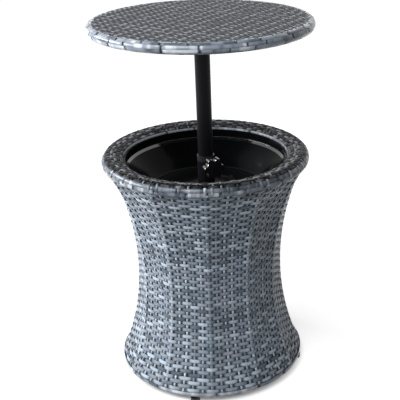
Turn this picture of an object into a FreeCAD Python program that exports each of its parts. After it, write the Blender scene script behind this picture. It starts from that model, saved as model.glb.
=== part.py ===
"""Round woven cooler table: an hourglass base with an ice bucket and a lid on a telescopic post.

Millimetres, +Z up. The origin is on the floor under the middle of the base, and -Y is the front.
The lid is modelled raised, which is how the table is used as a bar table.
"""
import FreeCAD, Part
import os
import Sketcher
from math import asin, cos, radians, sin
from FreeCAD import Placement, Rotation, Vector

DOC = FreeCAD.newDocument("cooler_table")
SIZES = DOC.addObject("Spreadsheet::Sheet", "Sizes")
PLACES = DOC.addObject("Spreadsheet::Sheet", "Places")

DRIVING = {
    # hourglass base
    "waist_radius": 173.5,
    "waist_height": 258.0,
    "rim_radius": 240.0,
    "rim_height": 528.0,
    "shoulder_radius": 18.0,
    "rim_width": 51.0,
    "inner_edge_drop": 15.0,
    "side_wall": 4.0,
    "strip_thickness": 2.7,
    # steel frame
    "frame_wall": 1.2,
    "bottom_tube_radius": 8.0,
    "top_tube_radius": 8.0,
    "inner_tube_radius": 6.0,
    "rib_radius": 4.0,
    "rib_count": 12,
    "first_rib_angle": 29.0,
    "hoop_thickness": 4.0,
    "hoop_width": 20.0,
    "tie_count": 6,
    "tie_width": 12.0,
    "tie_depth": 12.0,
    "brace_width": 30.0,
    "brace_thickness": 6.0,
    # feet
    "foot_count": 4,
    "first_foot_angle": 78.0,
    "foot_height": 10.0,
    "foot_radius": 11.0,
    "foot_screw_radius": 2.5,
    "foot_screw_head_radius": 5.0,
    "foot_screw_head_height": 3.0,
    "foot_recess": 4.0,
    # post and its foot plate
    "post_radius": 20.0,
    "post_bore_radius": 18.5,
    "post_drop": 26.0,
    "plate_radius": 55.0,
    "plate_thickness": 5.0,
    "bolt_count": 4,
    "bolt_circle": 40.0,
    "bolt_radius": 4.0,
    "bolt_head_radius": 6.5,
    "bolt_head_height": 5.3,
    "nut_radius": 6.5,
    "nut_height": 6.5,
    "bolt_end": 2.0,
    # bushes and pole
    "bush_rim": 12.0,
    "bush_sleeve": 40.0,
    "pole_radius": 17.5,
    "pole_wall": 1.5,
    "guide_length": 30.0,
    "guide_plug": 25.0,
    "guide_wall": 4.0,
    # clamp
    "clamp_angle": -68.0,
    "clamp_drop": 6.0,
    "boss_radius": 8.0,
    "boss_length": 13.0,
    "stud_radius": 4.0,
    "pad_length": 3.0,
    "knob_radius": 25.0,
    "lobe_radius": 7.0,
    "lobe_count": 6,
    "lobe_depth": 6.0,
    "knob_thickness": 16.0,
    "hub_radius": 11.0,
    "hub_length": 4.0,
    "stud_depth": 12.0,
    # ice bucket
    "bucket_wall": 2.7,
    "lip_depth": 20.0,
    "bucket_step": 12.0,
    "bowl_taper": 41.7,
    "bowl_depth": 47.0,
    "bowl_fillet": 16.0,
    "flange_setback": 4.0,
    "flange_thickness": 3.0,
    "seal_wall": 4.0,
    "seal_lip": 6.0,
    "seal_lip_thickness": 3.0,
    "bucket_screw_radius": 2.5,
    "bucket_screw_head_radius": 4.5,
    "bucket_screw_head_height": 3.0,
    "bucket_screw_grip": 9.0,
    # tabletop
    "table_lift": 275.0,
    "table_overhang": 10.0,
    "table_tube_radius": 9.5,
    "bar_width": 20.0,
    "bar_wall": 1.5,
    "top_plate_radius": 55.0,
    "top_plate_thickness": 4.0,
    "top_screw_count": 4,
    "top_screw_circle": 40.0,
    "top_screw_radius": 3.0,
    "top_screw_head_radius": 6.0,
    "top_screw_head_height": 3.5,
    "top_screw_grip": 5.0,
    # clearances
    "seat_gap": 0.3,
    "run_gap": 0.08,
    "screw_gap": 0.2,
    "closed_gap": 1.0,
}

# Places that follow from the driving sizes, in the order that they need each other.
DERIVED = {
    "side_arc": "((S.rim_radius - S.waist_radius)^2 + (S.rim_height - S.waist_height)^2)"
                " / (2 * (S.rim_radius - S.waist_radius))",
    "side_arc_centre": "S.waist_radius + P.side_arc",
    "facet_waist": "S.waist_radius * cos(180 deg / S.rib_count)",
    "facet_arc": "((S.rim_radius - P.facet_waist)^2 + (S.rim_height - S.waist_height)^2)"
                 " / (2 * (S.rim_radius - P.facet_waist))",
    "facet_arc_centre": "P.facet_waist + P.facet_arc",
    "strip_build": "S.strip_thickness + S.seat_gap",
    "bottom_ring_z": "S.foot_height + P.strip_build + S.bottom_tube_radius",
    "bottom_bead": "S.bottom_tube_radius + P.strip_build",
    "bottom_radius": "P.side_arc_centre - sqrt(P.side_arc^2 - (S.waist_height - P.bottom_ring_z)^2)",
    "bottom_ring_r": "P.bottom_radius - P.bottom_bead",
    "side_bottom_z": "P.bottom_ring_z + P.bottom_bead + S.seat_gap",
    "shoulder_centre_r": "S.rim_radius - S.shoulder_radius",
    "crown_z": "S.rim_height + S.shoulder_radius",
    "top_ring_shift": "(S.shoulder_radius - P.strip_build - S.top_tube_radius) * sqrt(0.5)",
    "top_ring_r": "P.shoulder_centre_r + P.top_ring_shift",
    "top_ring_z": "S.rim_height + P.top_ring_shift",
    "hole_radius": "S.rim_radius - S.rim_width",
    "inner_bead": "S.inner_tube_radius + P.strip_build",
    "inner_ring_r": "P.hole_radius + P.inner_bead",
    "inner_ring_z": "P.crown_z - S.inner_edge_drop",
    "rib_arc": "P.side_arc + S.side_wall + S.seat_gap + S.rib_radius",
    "rib_low_z": "P.bottom_ring_z + S.bottom_tube_radius + S.seat_gap"
                 " + S.rib_radius * (S.waist_height - P.bottom_ring_z) / P.rib_arc",
    "rib_high_z": "P.top_ring_z - S.top_tube_radius - S.seat_gap"
                  " - S.rib_radius * (P.top_ring_z - S.waist_height) / P.rib_arc",
    "hoop_radius": "S.waist_radius - S.side_wall - 2 * S.seat_gap - 2 * S.rib_radius",
    "tie_bottom_z": "P.inner_ring_z - P.inner_bead",
    "tie_inner_r": "P.inner_ring_r + S.inner_tube_radius + S.seat_gap",
    "tie_outer_r": "P.top_ring_r - S.top_tube_radius - S.seat_gap",
    "tie_screw_r": "(P.tie_inner_r + P.tie_outer_r) / 2",
    "cover_inner_r": "P.inner_ring_r + P.inner_bead / 2 + 2 * S.seat_gap",
    "cover_drop": "S.inner_edge_drop - P.inner_bead",
    "cover_arc": "((P.shoulder_centre_r - P.inner_ring_r)^2 + P.cover_drop^2) / (2 * P.cover_drop)",
    "brace_bottom_z": "P.bottom_ring_z - S.brace_thickness / 2",
    "brace_reach": "sqrt((P.bottom_ring_r - S.bottom_tube_radius - S.seat_gap)^2"
                   " - (S.brace_width / 2)^2)",
    "plate_bottom_z": "P.brace_bottom_z + S.brace_thickness",
    "post_bottom_z": "P.plate_bottom_z + S.plate_thickness",
    "post_top": "P.crown_z - S.post_drop",
    "collar_top_z": "P.post_top + S.bush_rim",
    "bush_bore": "S.pole_radius + S.run_gap",
    "clamp_z": "P.post_top - S.clamp_drop",
    "pole_bottom_z": "P.post_top - S.bush_sleeve - S.seat_gap",
    "guide_radius": "S.post_bore_radius - S.run_gap",
    "plug_radius": "S.pole_radius - S.pole_wall - S.run_gap",
    "pad_radius": "S.stud_radius - S.run_gap",
    "stud_hole": "S.stud_radius + S.run_gap",
    "pad_start": "S.pole_radius + S.seat_gap",
    "stud_start": "P.pad_start + S.pad_length + S.run_gap",
    "boss_end": "S.post_radius + S.boss_length",
    "knob_start": "P.boss_end + 2 * S.seat_gap",
    "knob_core_radius": "S.knob_radius - S.lobe_depth",
    "bucket_radius": "P.hole_radius - S.seat_gap",
    "lip_bottom_z": "P.inner_ring_z - S.lip_depth",
    "step_radius": "P.bucket_radius - S.bucket_step",
    "step_bottom_z": "P.lip_bottom_z - S.bucket_step",
    "bowl_floor_radius": "P.step_radius - S.bowl_taper",
    "bowl_floor_height": "P.step_bottom_z - S.bowl_depth",
    "bowl_outer_z": "P.bowl_floor_height - S.bucket_wall",
    "flange_radius": "P.tie_outer_r - S.flange_setback",
    "flange_top_z": "P.tie_bottom_z - S.seat_gap",
    "seal_bore": "S.post_radius + S.run_gap",
    "seal_radius": "P.seal_bore + S.seal_wall",
    "table_bead": "S.table_tube_radius + P.strip_build",
    "table_radius": "S.rim_radius + S.table_overhang",
    "table_height": "P.crown_z + S.closed_gap + S.table_lift + 2 * P.table_bead",
    "table_ring_r": "P.table_radius - P.table_bead",
    "table_ring_z": "P.table_height - P.table_bead",
    "table_bottom_z": "P.table_ring_z - P.table_bead",
    "bar_bottom_z": "P.table_bottom_z + S.top_plate_thickness",
    "bar_height": "P.table_height - P.strip_build - P.bar_bottom_z",
    "bar_reach": "sqrt((P.table_ring_r - S.table_tube_radius - S.seat_gap)^2 - (S.bar_width / 2)^2)",
}


def full(expression):
    """Write out the short forms S. and P. of the two sheets' names."""
    return expression.replace("S.", "Sizes.").replace("P.", "Places.")


def fill_sheets():
    """Put the driving sizes and the places that follow from them into the two sheets."""
    for row, (alias, value) in enumerate(DRIVING.items(), start=1):
        SIZES.set("A%d" % row, alias.replace("_", " "))
        SIZES.set("B%d" % row, str(value))
        SIZES.setAlias("B%d" % row, alias)
    DOC.recompute()
    for row, (alias, formula) in enumerate(DERIVED.items(), start=1):
        PLACES.set("A%d" % row, alias.replace("_", " "))
        PLACES.setAlias("B%d" % row, alias)
        PLACES.set("B%d" % row, "=" + full(formula).replace("Places.", ""))
        DOC.recompute()


def value(expression):
    """Return the present value of an expression on the sheets."""
    return float(SIZES.evalExpression(full(expression)))


def bind(thing, prop, expression):
    """Tie one property to an expression on the sheets."""
    thing.setExpression(prop, full(expression))


def new_body(name):
    """Start the body of one sub-part, with its node name as label."""
    body = DOC.addObject("PartDesign::Body", name)
    body.Label = name
    return body


def new_sketch(body, name, role, height="0"):
    """Add a sketch on one of the body's own origin planes, lifted along its normal by height."""
    sketch = body.newObject("Sketcher::SketchObject", body.Name + "_" + name)
    plane = [item for item in body.Origin.OriginFeatures if item.Role == role][0]
    sketch.AttachmentSupport = (plane, [""])
    sketch.MapMode = "FlatFace"
    if height != "0":
        bind(sketch, "AttachmentOffset.Base.z", height)
    DOC.recompute()
    return sketch


def hold(sketch, kind, geometry, point, expression):
    """Hold one coordinate of a sketch point at the value of an expression."""
    amount = value(expression)
    if abs(amount) < 1e-9:
        axis = -2 if kind == "DistanceX" else -1
        sketch.addConstraint(Sketcher.Constraint("PointOnObject", geometry, point, axis))
        return
    index = sketch.addConstraint(Sketcher.Constraint(kind, -1, 1, geometry, point, amount))
    bind(sketch, "Constraints[%d]" % index, expression)


def draw_circle(sketch, across, up, radius):
    """Draw one circle whose centre and radius follow the sheets."""
    centre = Vector(value(across), value(up), 0)
    index = sketch.addGeometry(Part.Circle(centre, Vector(0, 0, 1), value(radius)))
    hold(sketch, "DistanceX", index, 3, across)
    hold(sketch, "DistanceY", index, 3, up)
    rule = sketch.addConstraint(Sketcher.Constraint("Radius", index, value(radius)))
    bind(sketch, "Constraints[%d]" % rule, radius)


def draw_outline(sketch, corners):
    """Draw a closed outline of straight lines through corners given as pairs of expressions."""
    spots = [Vector(value(across), value(up), 0) for across, up in corners]
    lines = []
    for start, end in zip(spots, spots[1:] + spots[:1]):
        lines.append(sketch.addGeometry(Part.LineSegment(start, end)))
    for before, after in zip(lines, lines[1:] + lines[:1]):
        sketch.addConstraint(Sketcher.Constraint("Coincident", before, 2, after, 1))
    for line, (across, up) in zip(lines, corners):
        hold(sketch, "DistanceX", line, 1, across)
        hold(sketch, "DistanceY", line, 1, up)


def draw_strip(sketch, across, up, inner, outer, start, end):
    """Draw a curved strip between two arcs of one centre, from start to end degrees.

    An end may name R, each arc's own radius, so that both arcs stop at one level.
    """
    centre = Vector(value(across), value(up), 0)
    ends = ((1, start), (2, end))
    arcs = []
    for radius in (inner, outer):
        circle = Part.Circle(centre, Vector(0, 0, 1), value(radius))
        turns = [radians(value(at_radius(angle, radius))) for _, angle in ends]
        arc = sketch.addGeometry(Part.ArcOfCircle(circle, turns[0], turns[1]))
        hold(sketch, "DistanceX", arc, 3, across)
        hold(sketch, "DistanceY", arc, 3, up)
        rule = sketch.addConstraint(Sketcher.Constraint("Radius", arc, value(radius)))
        bind(sketch, "Constraints[%d]" % rule, radius)
        for point, angle in ends:
            hold_on_arc(sketch, arc, point, (across, up), radius, at_radius(angle, radius))
        arcs.append(arc)
    for point, _ in ends:
        spots = [sketch.getPoint(arc, point) for arc in arcs]
        line = sketch.addGeometry(Part.LineSegment(spots[0], spots[1]))
        sketch.addConstraint(Sketcher.Constraint("Coincident", line, 1, arcs[0], point))
        sketch.addConstraint(Sketcher.Constraint("Coincident", line, 2, arcs[1], point))


def at_radius(angle, radius):
    """Write an arc's own radius into the expression of its end's angle."""
    return angle.replace("R", "(" + radius + ")")


def hold_on_arc(sketch, arc, point, centre, radius, angle):
    """Hold an arc's end at an angle by the coordinate that changes most along the arc there."""
    turn = radians(value(angle))
    if abs(cos(turn)) > abs(sin(turn)):
        hold(sketch, "DistanceY", arc, point, "%s + (%s) * sin(%s)" % (centre[1], radius, angle))
    else:
        hold(sketch, "DistanceX", arc, point, "%s + (%s) * cos(%s)" % (centre[0], radius, angle))


def revolve(body, sketch, name="turned"):
    """Turn a sketch all round the body's Z axis."""
    turned = body.newObject("PartDesign::Revolution", body.Name + "_" + name)
    turned.Profile = (sketch, [""])
    turned.ReferenceAxis = (sketch, ["V_Axis"])
    turned.Angle = 360
    sketch.Visibility = False
    DOC.recompute()
    return turned


def pad(body, sketch, length, name="pad"):
    """Pad a sketch along its normal by the value of an expression."""
    block = body.newObject("PartDesign::Pad", body.Name + "_" + name)
    block.Profile = (sketch, [""])
    bind(block, "Length", length)
    DOC.recompute()
    return block


def pocket(body, sketch, length, upwards=True, name="pocket"):
    """Cut a sketch out of the body for a length along its normal, or against it."""
    before = body.Shape
    cut = body.newObject("PartDesign::Pocket", body.Name + "_" + name)
    cut.Profile = (sketch, [""])
    cut.Reversed = upwards
    bind(cut, "Length", length)
    DOC.recompute()
    if len(body.Shape.Faces) == len(before.Faces) and not body.Shape.Volume < before.Volume:
        raise ValueError("%s cuts nothing" % cut.Name)
    return cut


def repeat(body, features, count, name="round"):
    """Repeat features evenly round the body's Z axis."""
    pattern = body.newObject("PartDesign::PolarPattern", body.Name + "_" + name)
    pattern.Originals = features
    axis = [item for item in body.Origin.OriginFeatures if item.Role == "Z_Axis"][0]
    pattern.Axis = (axis, [""])
    pattern.Angle = 360
    bind(pattern, "Occurrences", count)
    body.Tip = pattern
    DOC.recompute()
    return pattern


def turn_body(body, angle):
    """Turn a whole sub-part about the Z axis to an angle in degrees."""
    body.Placement = Placement(Vector(0, 0, 0), Rotation(Vector(0, 0, 1), angle))
    return body


def tube_ring(name, across, up, radius, wall):
    """Make a steel tube bent to a full ring."""
    body = new_body(name)
    sketch = new_sketch(body, "section", "XZ_Plane")
    draw_circle(sketch, across, up, radius)
    draw_circle(sketch, across, up, "%s - %s" % (radius, wall))
    revolve(body, sketch)
    return body


def strip_ring(name, across, up, inner, outer, start, end):
    """Make a ring whose section is a curved strip."""
    body = new_body(name)
    sketch = new_sketch(body, "section", "XZ_Plane")
    draw_strip(sketch, across, up, inner, outer, start, end)
    revolve(body, sketch)
    return body


def turned_part(name, corners):
    """Make a turned piece from the straight outline of its half section."""
    body = new_body(name)
    sketch = new_sketch(body, "section", "XZ_Plane")
    draw_outline(sketch, corners)
    revolve(body, sketch)
    return body


def disc(body, name, radius, bottom, height, bore=None, across="0"):
    """Pad one round disc, with an optional bore, at a height and a distance from the axis."""
    sketch = new_sketch(body, name + "_sketch", "XY_Plane", bottom)
    draw_circle(sketch, across, "0", radius)
    if bore:
        draw_circle(sketch, across, "0", bore)
    return pad(body, sketch, height, name)


def hole(body, name, radius, bottom, height, across):
    """Cut one round hole upwards from a height at a distance from the axis."""
    sketch = new_sketch(body, name + "_sketch", "XY_Plane", bottom)
    draw_circle(sketch, across, "0", radius)
    return pocket(body, sketch, height, True, name)


def screw_group(name, count, circle, shank, head, head_bottom, head_height, shank_bottom, length):
    """Make a ring of equal screws, each a head disc and a shank as one solid."""
    body = new_body(name)
    body.AllowCompound = True
    head_disc = disc(body, "head", head, head_bottom, head_height, across=circle)
    shank_rod = disc(body, "shank", shank, shank_bottom, length, across=circle)
    repeat(body, [head_disc, shank_rod], count)
    return body


def base_frame():
    """Make the steel rings, ribs, hoop and ties that carry the weave."""
    bottom = tube_ring("bottom_ring", "P.bottom_ring_r", "P.bottom_ring_z",
                       "S.bottom_tube_radius", "S.frame_wall")
    screw_hole = hole(bottom, "screw_hole", "S.foot_screw_radius + S.run_gap", "0",
                      "P.bottom_ring_z", "P.bottom_ring_r")
    repeat(bottom, [screw_hole], "S.foot_count")
    tube_ring("top_ring", "P.top_ring_r", "P.top_ring_z", "S.top_tube_radius", "S.frame_wall")
    tube_ring("inner_ring", "P.inner_ring_r", "P.inner_ring_z", "S.inner_tube_radius",
              "S.frame_wall")
    low = "S.waist_height - S.hoop_width / 2"
    high = "S.waist_height + S.hoop_width / 2"
    inside = "P.hoop_radius - S.hoop_thickness"
    turned_part("waist_hoop", [(inside, low), ("P.hoop_radius", low), ("P.hoop_radius", high),
                               (inside, high)])
    turn_body(bottom, value("S.first_foot_angle"))
    for number in range(int(value("S.rib_count"))):
        make_rib(number)
    for number in range(int(value("S.tie_count"))):
        make_tie(number)


def make_rib(number):
    """Make one curved rod that follows the side's arc from the bottom ring to the top ring."""
    name = "rib_%02d" % (number + 1)
    rib = DOC.addObject("Part::Torus", name)
    rib.Label = name
    bind(rib, "Radius1", "P.rib_arc")
    bind(rib, "Radius2", "S.rib_radius")
    bind(rib, "Angle3", "asin((S.waist_height - P.rib_low_z) / P.rib_arc)"
                        " + asin((P.rib_high_z - S.waist_height) / P.rib_arc)")
    around = radians(value("S.first_rib_angle") + number * 360.0 / value("S.rib_count"))
    outwards = Vector(cos(around), sin(around), 0)
    upwards = Vector(0, 0, 1)
    dip = asin((value("S.waist_height") - value("P.rib_low_z")) / value("P.rib_arc"))
    start = -outwards * cos(dip) - upwards * sin(dip)
    along = -outwards * sin(dip) + upwards * cos(dip)
    centre = outwards * value("P.side_arc_centre") + upwards * value("S.waist_height")
    rib.Placement = Placement(centre, Rotation(start, along, start.cross(along), "XYZ"))


def make_tie(number):
    """Make one square bar between the two upper rings, tapped from below for a bucket screw."""
    tie = new_body("rim_tie_%d" % (number + 1))
    sketch = new_sketch(tie, "outline", "XY_Plane", "P.tie_bottom_z")
    side = "S.tie_width / 2"
    draw_outline(sketch, [("P.tie_inner_r", "-" + side), ("P.tie_outer_r", "-" + side),
                          ("P.tie_outer_r", side), ("P.tie_inner_r", side)])
    pad(tie, sketch, "S.tie_depth")
    hole(tie, "tapped_hole", "S.bucket_screw_radius + S.run_gap", "P.tie_bottom_z",
         "S.bucket_screw_grip + S.seat_gap", "P.tie_screw_r")
    turn_body(tie, value("S.first_rib_angle") + number * 360.0 / value("S.tie_count"))


def faceted_side():
    """Make the woven side: flat from rib to rib at the waist, round where it meets the rim."""
    side = DOC.addObject("Part::Loft", "wicker_side")
    side.Label = "wicker_side"
    count = int(value("S.rib_count")) * 2
    side.Sections = [side_section(number, count) for number in range(count)]
    side.Solid = True
    side.Ruled = True
    side.Closed = True
    DOC.recompute()


def side_section(number, count):
    """Draw the side's wall in one upright plane, on a rib or halfway between two."""
    sketch = DOC.addObject("Sketcher::SketchObject", "side_section_%02d" % (number + 1))
    turn = Rotation(Vector(0, 0, 1), value("S.first_rib_angle") + number * 360.0 / count)
    sketch.Placement = Placement(Vector(0, 0, 0), turn * Rotation(Vector(1, 0, 0), 90))
    centre = "P.facet_arc_centre" if number % 2 else "P.side_arc_centre"
    arc = "P.facet_arc" if number % 2 else "P.side_arc"
    draw_strip(sketch, centre, "S.waist_height", arc, arc + " + S.side_wall",
               "180 deg - asin((S.rim_height - S.waist_height) / R)",
               "180 deg + asin((S.waist_height - P.side_bottom_z) / R)")
    sketch.Visibility = False
    return sketch


def woven_skins():
    """Make the woven side and rim and the strip bindings of the edges as closed shells."""
    faceted_side()
    bottom = strip_ring("bottom_binding", "P.bottom_ring_r", "P.bottom_ring_z",
                        "S.bottom_tube_radius + S.seat_gap", "P.bottom_bead", "-150", "80")
    screw_hole = hole(bottom, "screw_hole", "S.foot_screw_radius + S.screw_gap", "0",
                      "P.bottom_ring_z", "P.bottom_ring_r")
    repeat(bottom, [screw_hole], "S.foot_count")
    turn_body(bottom, value("S.first_foot_angle"))
    strip_ring("rim_edge_binding", "P.shoulder_centre_r", "S.rim_height",
               "S.shoulder_radius - S.strip_thickness", "S.shoulder_radius", "0", "90")
    strip_ring("rim_cover", "P.shoulder_centre_r", "P.crown_z - P.cover_arc",
               "P.cover_arc - S.strip_thickness", "P.cover_arc", "90",
               "90 deg + asin((P.shoulder_centre_r - P.cover_inner_r) / P.cover_arc)")
    strip_ring("inner_edge_binding", "P.inner_ring_r", "P.inner_ring_z",
               "S.inner_tube_radius + S.seat_gap", "P.inner_bead", "60", "270")


def feet():
    """Make the four glides under the bottom ring, each held by a screw from below."""
    for number in range(int(value("S.foot_count"))):
        foot = new_body("foot_%d" % (number + 1))
        disc(foot, "disc", "S.foot_radius", "0", "S.foot_height - S.seat_gap",
             "S.foot_screw_radius + S.screw_gap", across="P.bottom_ring_r")
        hole(foot, "recess", "S.foot_screw_head_radius + S.screw_gap", "0", "S.foot_recess",
             "P.bottom_ring_r")
        turn_body(foot, value("S.first_foot_angle") + number * 360.0 / value("S.foot_count"))
    head_bottom = "S.foot_recess - S.foot_screw_head_height"
    screws = screw_group("foot_screws", "S.foot_count", "P.bottom_ring_r", "S.foot_screw_radius",
                         "S.foot_screw_head_radius", head_bottom, "S.foot_screw_head_height",
                         "S.foot_recess", "P.bottom_ring_z - S.bottom_tube_radius / 2 - S.foot_recess")
    turn_body(screws, value("S.first_foot_angle"))


def base_brace():
    """Make the cross brace and the bolted plate that the post stands on."""
    turn = value("S.first_foot_angle")
    brace = new_body("cross_brace")
    half = "S.brace_width / 2"
    reach = "P.brace_reach"
    for name, far, near in (("arm", reach, half), ("other_arm", half, reach)):
        sketch = new_sketch(brace, name + "_outline", "XY_Plane", "P.brace_bottom_z")
        draw_outline(sketch, [("-" + far, "-" + near), (far, "-" + near), (far, near),
                              ("-" + far, near)])
        pad(brace, sketch, "S.brace_thickness", name)
    bolt_hole = hole(brace, "bolt_hole", "S.bolt_radius + S.screw_gap", "P.brace_bottom_z",
                     "S.brace_thickness", "S.bolt_circle")
    repeat(brace, [bolt_hole], "S.bolt_count")
    turn_body(brace, turn)
    plate = new_body("post_plate")
    disc(plate, "disc", "S.plate_radius", "P.plate_bottom_z", "S.plate_thickness")
    plate_hole = hole(plate, "bolt_hole", "S.bolt_radius + S.screw_gap", "P.plate_bottom_z",
                      "S.plate_thickness", "S.bolt_circle")
    repeat(plate, [plate_hole], "S.bolt_count")
    turn_body(plate, turn)
    nut_bottom = "P.brace_bottom_z - S.nut_height"
    bolts = screw_group("plate_bolts", "S.bolt_count", "S.bolt_circle", "S.bolt_radius",
                        "S.bolt_head_radius", "P.post_bottom_z", "S.bolt_head_height",
                        nut_bottom + " - S.bolt_end",
                        "P.post_bottom_z - (%s - S.bolt_end)" % nut_bottom)
    turn_body(bolts, turn)
    nuts = new_body("plate_nuts")
    nuts.AllowCompound = True
    nut = disc(nuts, "nut", "S.nut_radius", nut_bottom, "S.nut_height",
               "S.bolt_radius + S.run_gap", across="S.bolt_circle")
    repeat(nuts, [nut], "S.bolt_count")
    turn_body(nuts, turn)


def radial_hole(body, name, radius, length):
    """Cut a round hole outwards along the body's own X axis at the clamp's height."""
    sketch = new_sketch(body, name + "_sketch", "YZ_Plane")
    draw_circle(sketch, "0", "P.clamp_z", radius)
    return pocket(body, sketch, length, True, name)


def post_parts():
    """Make the fixed post, its top bush and the tapped boss of the clamp."""
    turn = value("S.clamp_angle")
    post = new_body("fixed_post")
    disc(post, "tube", "S.post_radius", "P.post_bottom_z", "P.post_top - P.post_bottom_z",
         "S.post_bore_radius")
    radial_hole(post, "clamp_hole", "P.stud_hole", "S.post_radius + S.seat_gap")
    turn_body(post, turn)
    bush = new_body("top_bush")
    disc(bush, "rim", "S.post_radius", "P.post_top", "S.bush_rim", "P.bush_bore")
    disc(bush, "sleeve", "S.post_bore_radius - S.run_gap / 2", "P.post_top - S.bush_sleeve",
         "S.bush_sleeve", "P.bush_bore")
    radial_hole(bush, "clamp_hole", "P.stud_hole", "S.post_radius")
    turn_body(bush, turn)


def clamp_placement(distance):
    """Place a piece that is modelled along Z on the clamp's axis, at a distance from the post's."""
    around = radians(value("S.clamp_angle"))
    outwards = Vector(cos(around), sin(around), 0)
    upwards = Vector(0, 0, 1)
    turn = Rotation(upwards.cross(outwards), upwards, outwards, "ZYX")
    return Placement(outwards * value(distance) + upwards * value("P.clamp_z"), turn)


def clamp_parts():
    """Make the clamp: a boss on the post, a pressure pad, a threaded stud and a lobed knob."""
    boss_body = new_body("clamp_boss")
    sketch = new_sketch(boss_body, "outline", "YZ_Plane")
    draw_circle(sketch, "0", "P.clamp_z", "S.boss_radius")
    draw_circle(sketch, "0", "P.clamp_z", "P.stud_hole")
    pad(boss_body, sketch, "P.boss_end", "rod")
    inside = new_sketch(boss_body, "post_sketch", "XY_Plane")
    draw_circle(inside, "0", "0", "S.post_radius")
    pocket(boss_body, inside, "P.collar_top_z", True, "saddle")
    turn_body(boss_body, value("S.clamp_angle"))
    pad_body = new_body("pressure_pad")
    disc(pad_body, "disc", "P.pad_radius", "0", "S.pad_length")
    pad_body.Placement = clamp_placement("P.pad_start")
    stud = new_body("knob_stud")
    disc(stud, "rod", "S.stud_radius", "0",
         "P.knob_start + S.hub_length + S.stud_depth - P.stud_start")
    stud.Placement = clamp_placement("P.stud_start")
    knob = new_body("clamp_knob")
    disc(knob, "hub", "S.hub_radius", "0", "S.hub_length")
    disc(knob, "core", "P.knob_core_radius", "S.hub_length", "S.knob_thickness")
    lobe = disc(knob, "lobe", "S.lobe_radius", "S.hub_length", "S.knob_thickness",
                across="S.knob_radius - S.lobe_radius")
    repeat(knob, [lobe], "S.lobe_count")
    hole(knob, "stud_hole", "P.stud_hole", "0", "S.hub_length + S.stud_depth + S.run_gap", "0")
    knob.Placement = clamp_placement("P.knob_start")


def ring_edges(shape, radius, height):
    """Name the shape's edges that run round the Z axis at a radius and a height."""
    names = []
    for index, edge in enumerate(shape.Edges, start=1):
        spot = edge.valueAt(edge.FirstParameter)
        reach = (spot.x ** 2 + spot.y ** 2) ** 0.5
        if abs(spot.z - height) < 1e-4 and abs(reach - radius) < 1e-4:
            names.append("Edge%d" % index)
    return names


def ring_face(shape, height):
    """Name the shape's flat level face at a height."""
    for index, face in enumerate(shape.Faces, start=1):
        if abs(face.BoundBox.ZMin - height) < 1e-4 and face.BoundBox.ZLength < 1e-4:
            return "Face%d" % index
    raise ValueError("no level face at %s" % height)


def ice_bucket():
    """Make the bucket: a lip, a step and a bowl of one wall, hung by a flange under the ties."""
    bucket = new_body("ice_bucket")
    sketch = new_sketch(bucket, "section", "XZ_Plane")
    draw_outline(sketch, [("0", "P.bowl_outer_z"), ("P.bowl_floor_radius", "P.bowl_outer_z"),
                          ("P.step_radius", "P.step_bottom_z"), ("P.bucket_radius", "P.lip_bottom_z"),
                          ("P.bucket_radius", "P.inner_ring_z"), ("0", "P.inner_ring_z")])
    solid = revolve(bucket, sketch, "outside")
    rounded = bucket.newObject("PartDesign::Fillet", "ice_bucket_round")
    edges = ring_edges(solid.Shape, value("P.bowl_floor_radius"), value("P.bowl_outer_z"))
    rounded.Base = (solid, edges)
    bind(rounded, "Radius", "S.bowl_fillet + S.bucket_wall")
    DOC.recompute()
    shell = bucket.newObject("PartDesign::Thickness", "ice_bucket_wall")
    shell.Base = (rounded, [ring_face(rounded.Shape, value("P.inner_ring_z"))])
    shell.Reversed = True
    bind(shell, "Value", "S.bucket_wall")
    DOC.recompute()
    disc(bucket, "flange", "P.flange_radius", "P.flange_top_z - S.flange_thickness",
         "S.flange_thickness", "P.bucket_radius - S.bucket_wall / 2")
    hole(bucket, "post_hole", "P.seal_radius + S.run_gap", "0", "P.lip_bottom_z", "0")
    screw_hole = hole(bucket, "screw_hole", "S.bucket_screw_radius + S.screw_gap",
                      "P.flange_top_z - S.flange_thickness", "S.flange_thickness", "P.tie_screw_r")
    repeat(bucket, [screw_hole], "S.tie_count")
    turn_body(bucket, value("S.first_rib_angle"))
    below = "P.flange_top_z - S.flange_thickness"
    screws = screw_group("bucket_screws", "S.tie_count", "P.tie_screw_r", "S.bucket_screw_radius",
                         "S.bucket_screw_head_radius", below + " - S.bucket_screw_head_height",
                         "S.bucket_screw_head_height", below,
                         "S.flange_thickness + S.seat_gap + S.bucket_screw_grip")
    turn_body(screws, value("S.first_rib_angle"))
    rest = "P.bowl_floor_height"
    lip = "P.seal_radius + S.seal_lip"
    upper = rest + " + S.seal_lip_thickness"
    turned_part("post_seal", [("P.seal_bore", "P.bowl_outer_z"), ("P.seal_radius", "P.bowl_outer_z"),
                              ("P.seal_radius", rest), (lip, rest), (lip, upper),
                              ("P.seal_bore", upper)])


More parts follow.
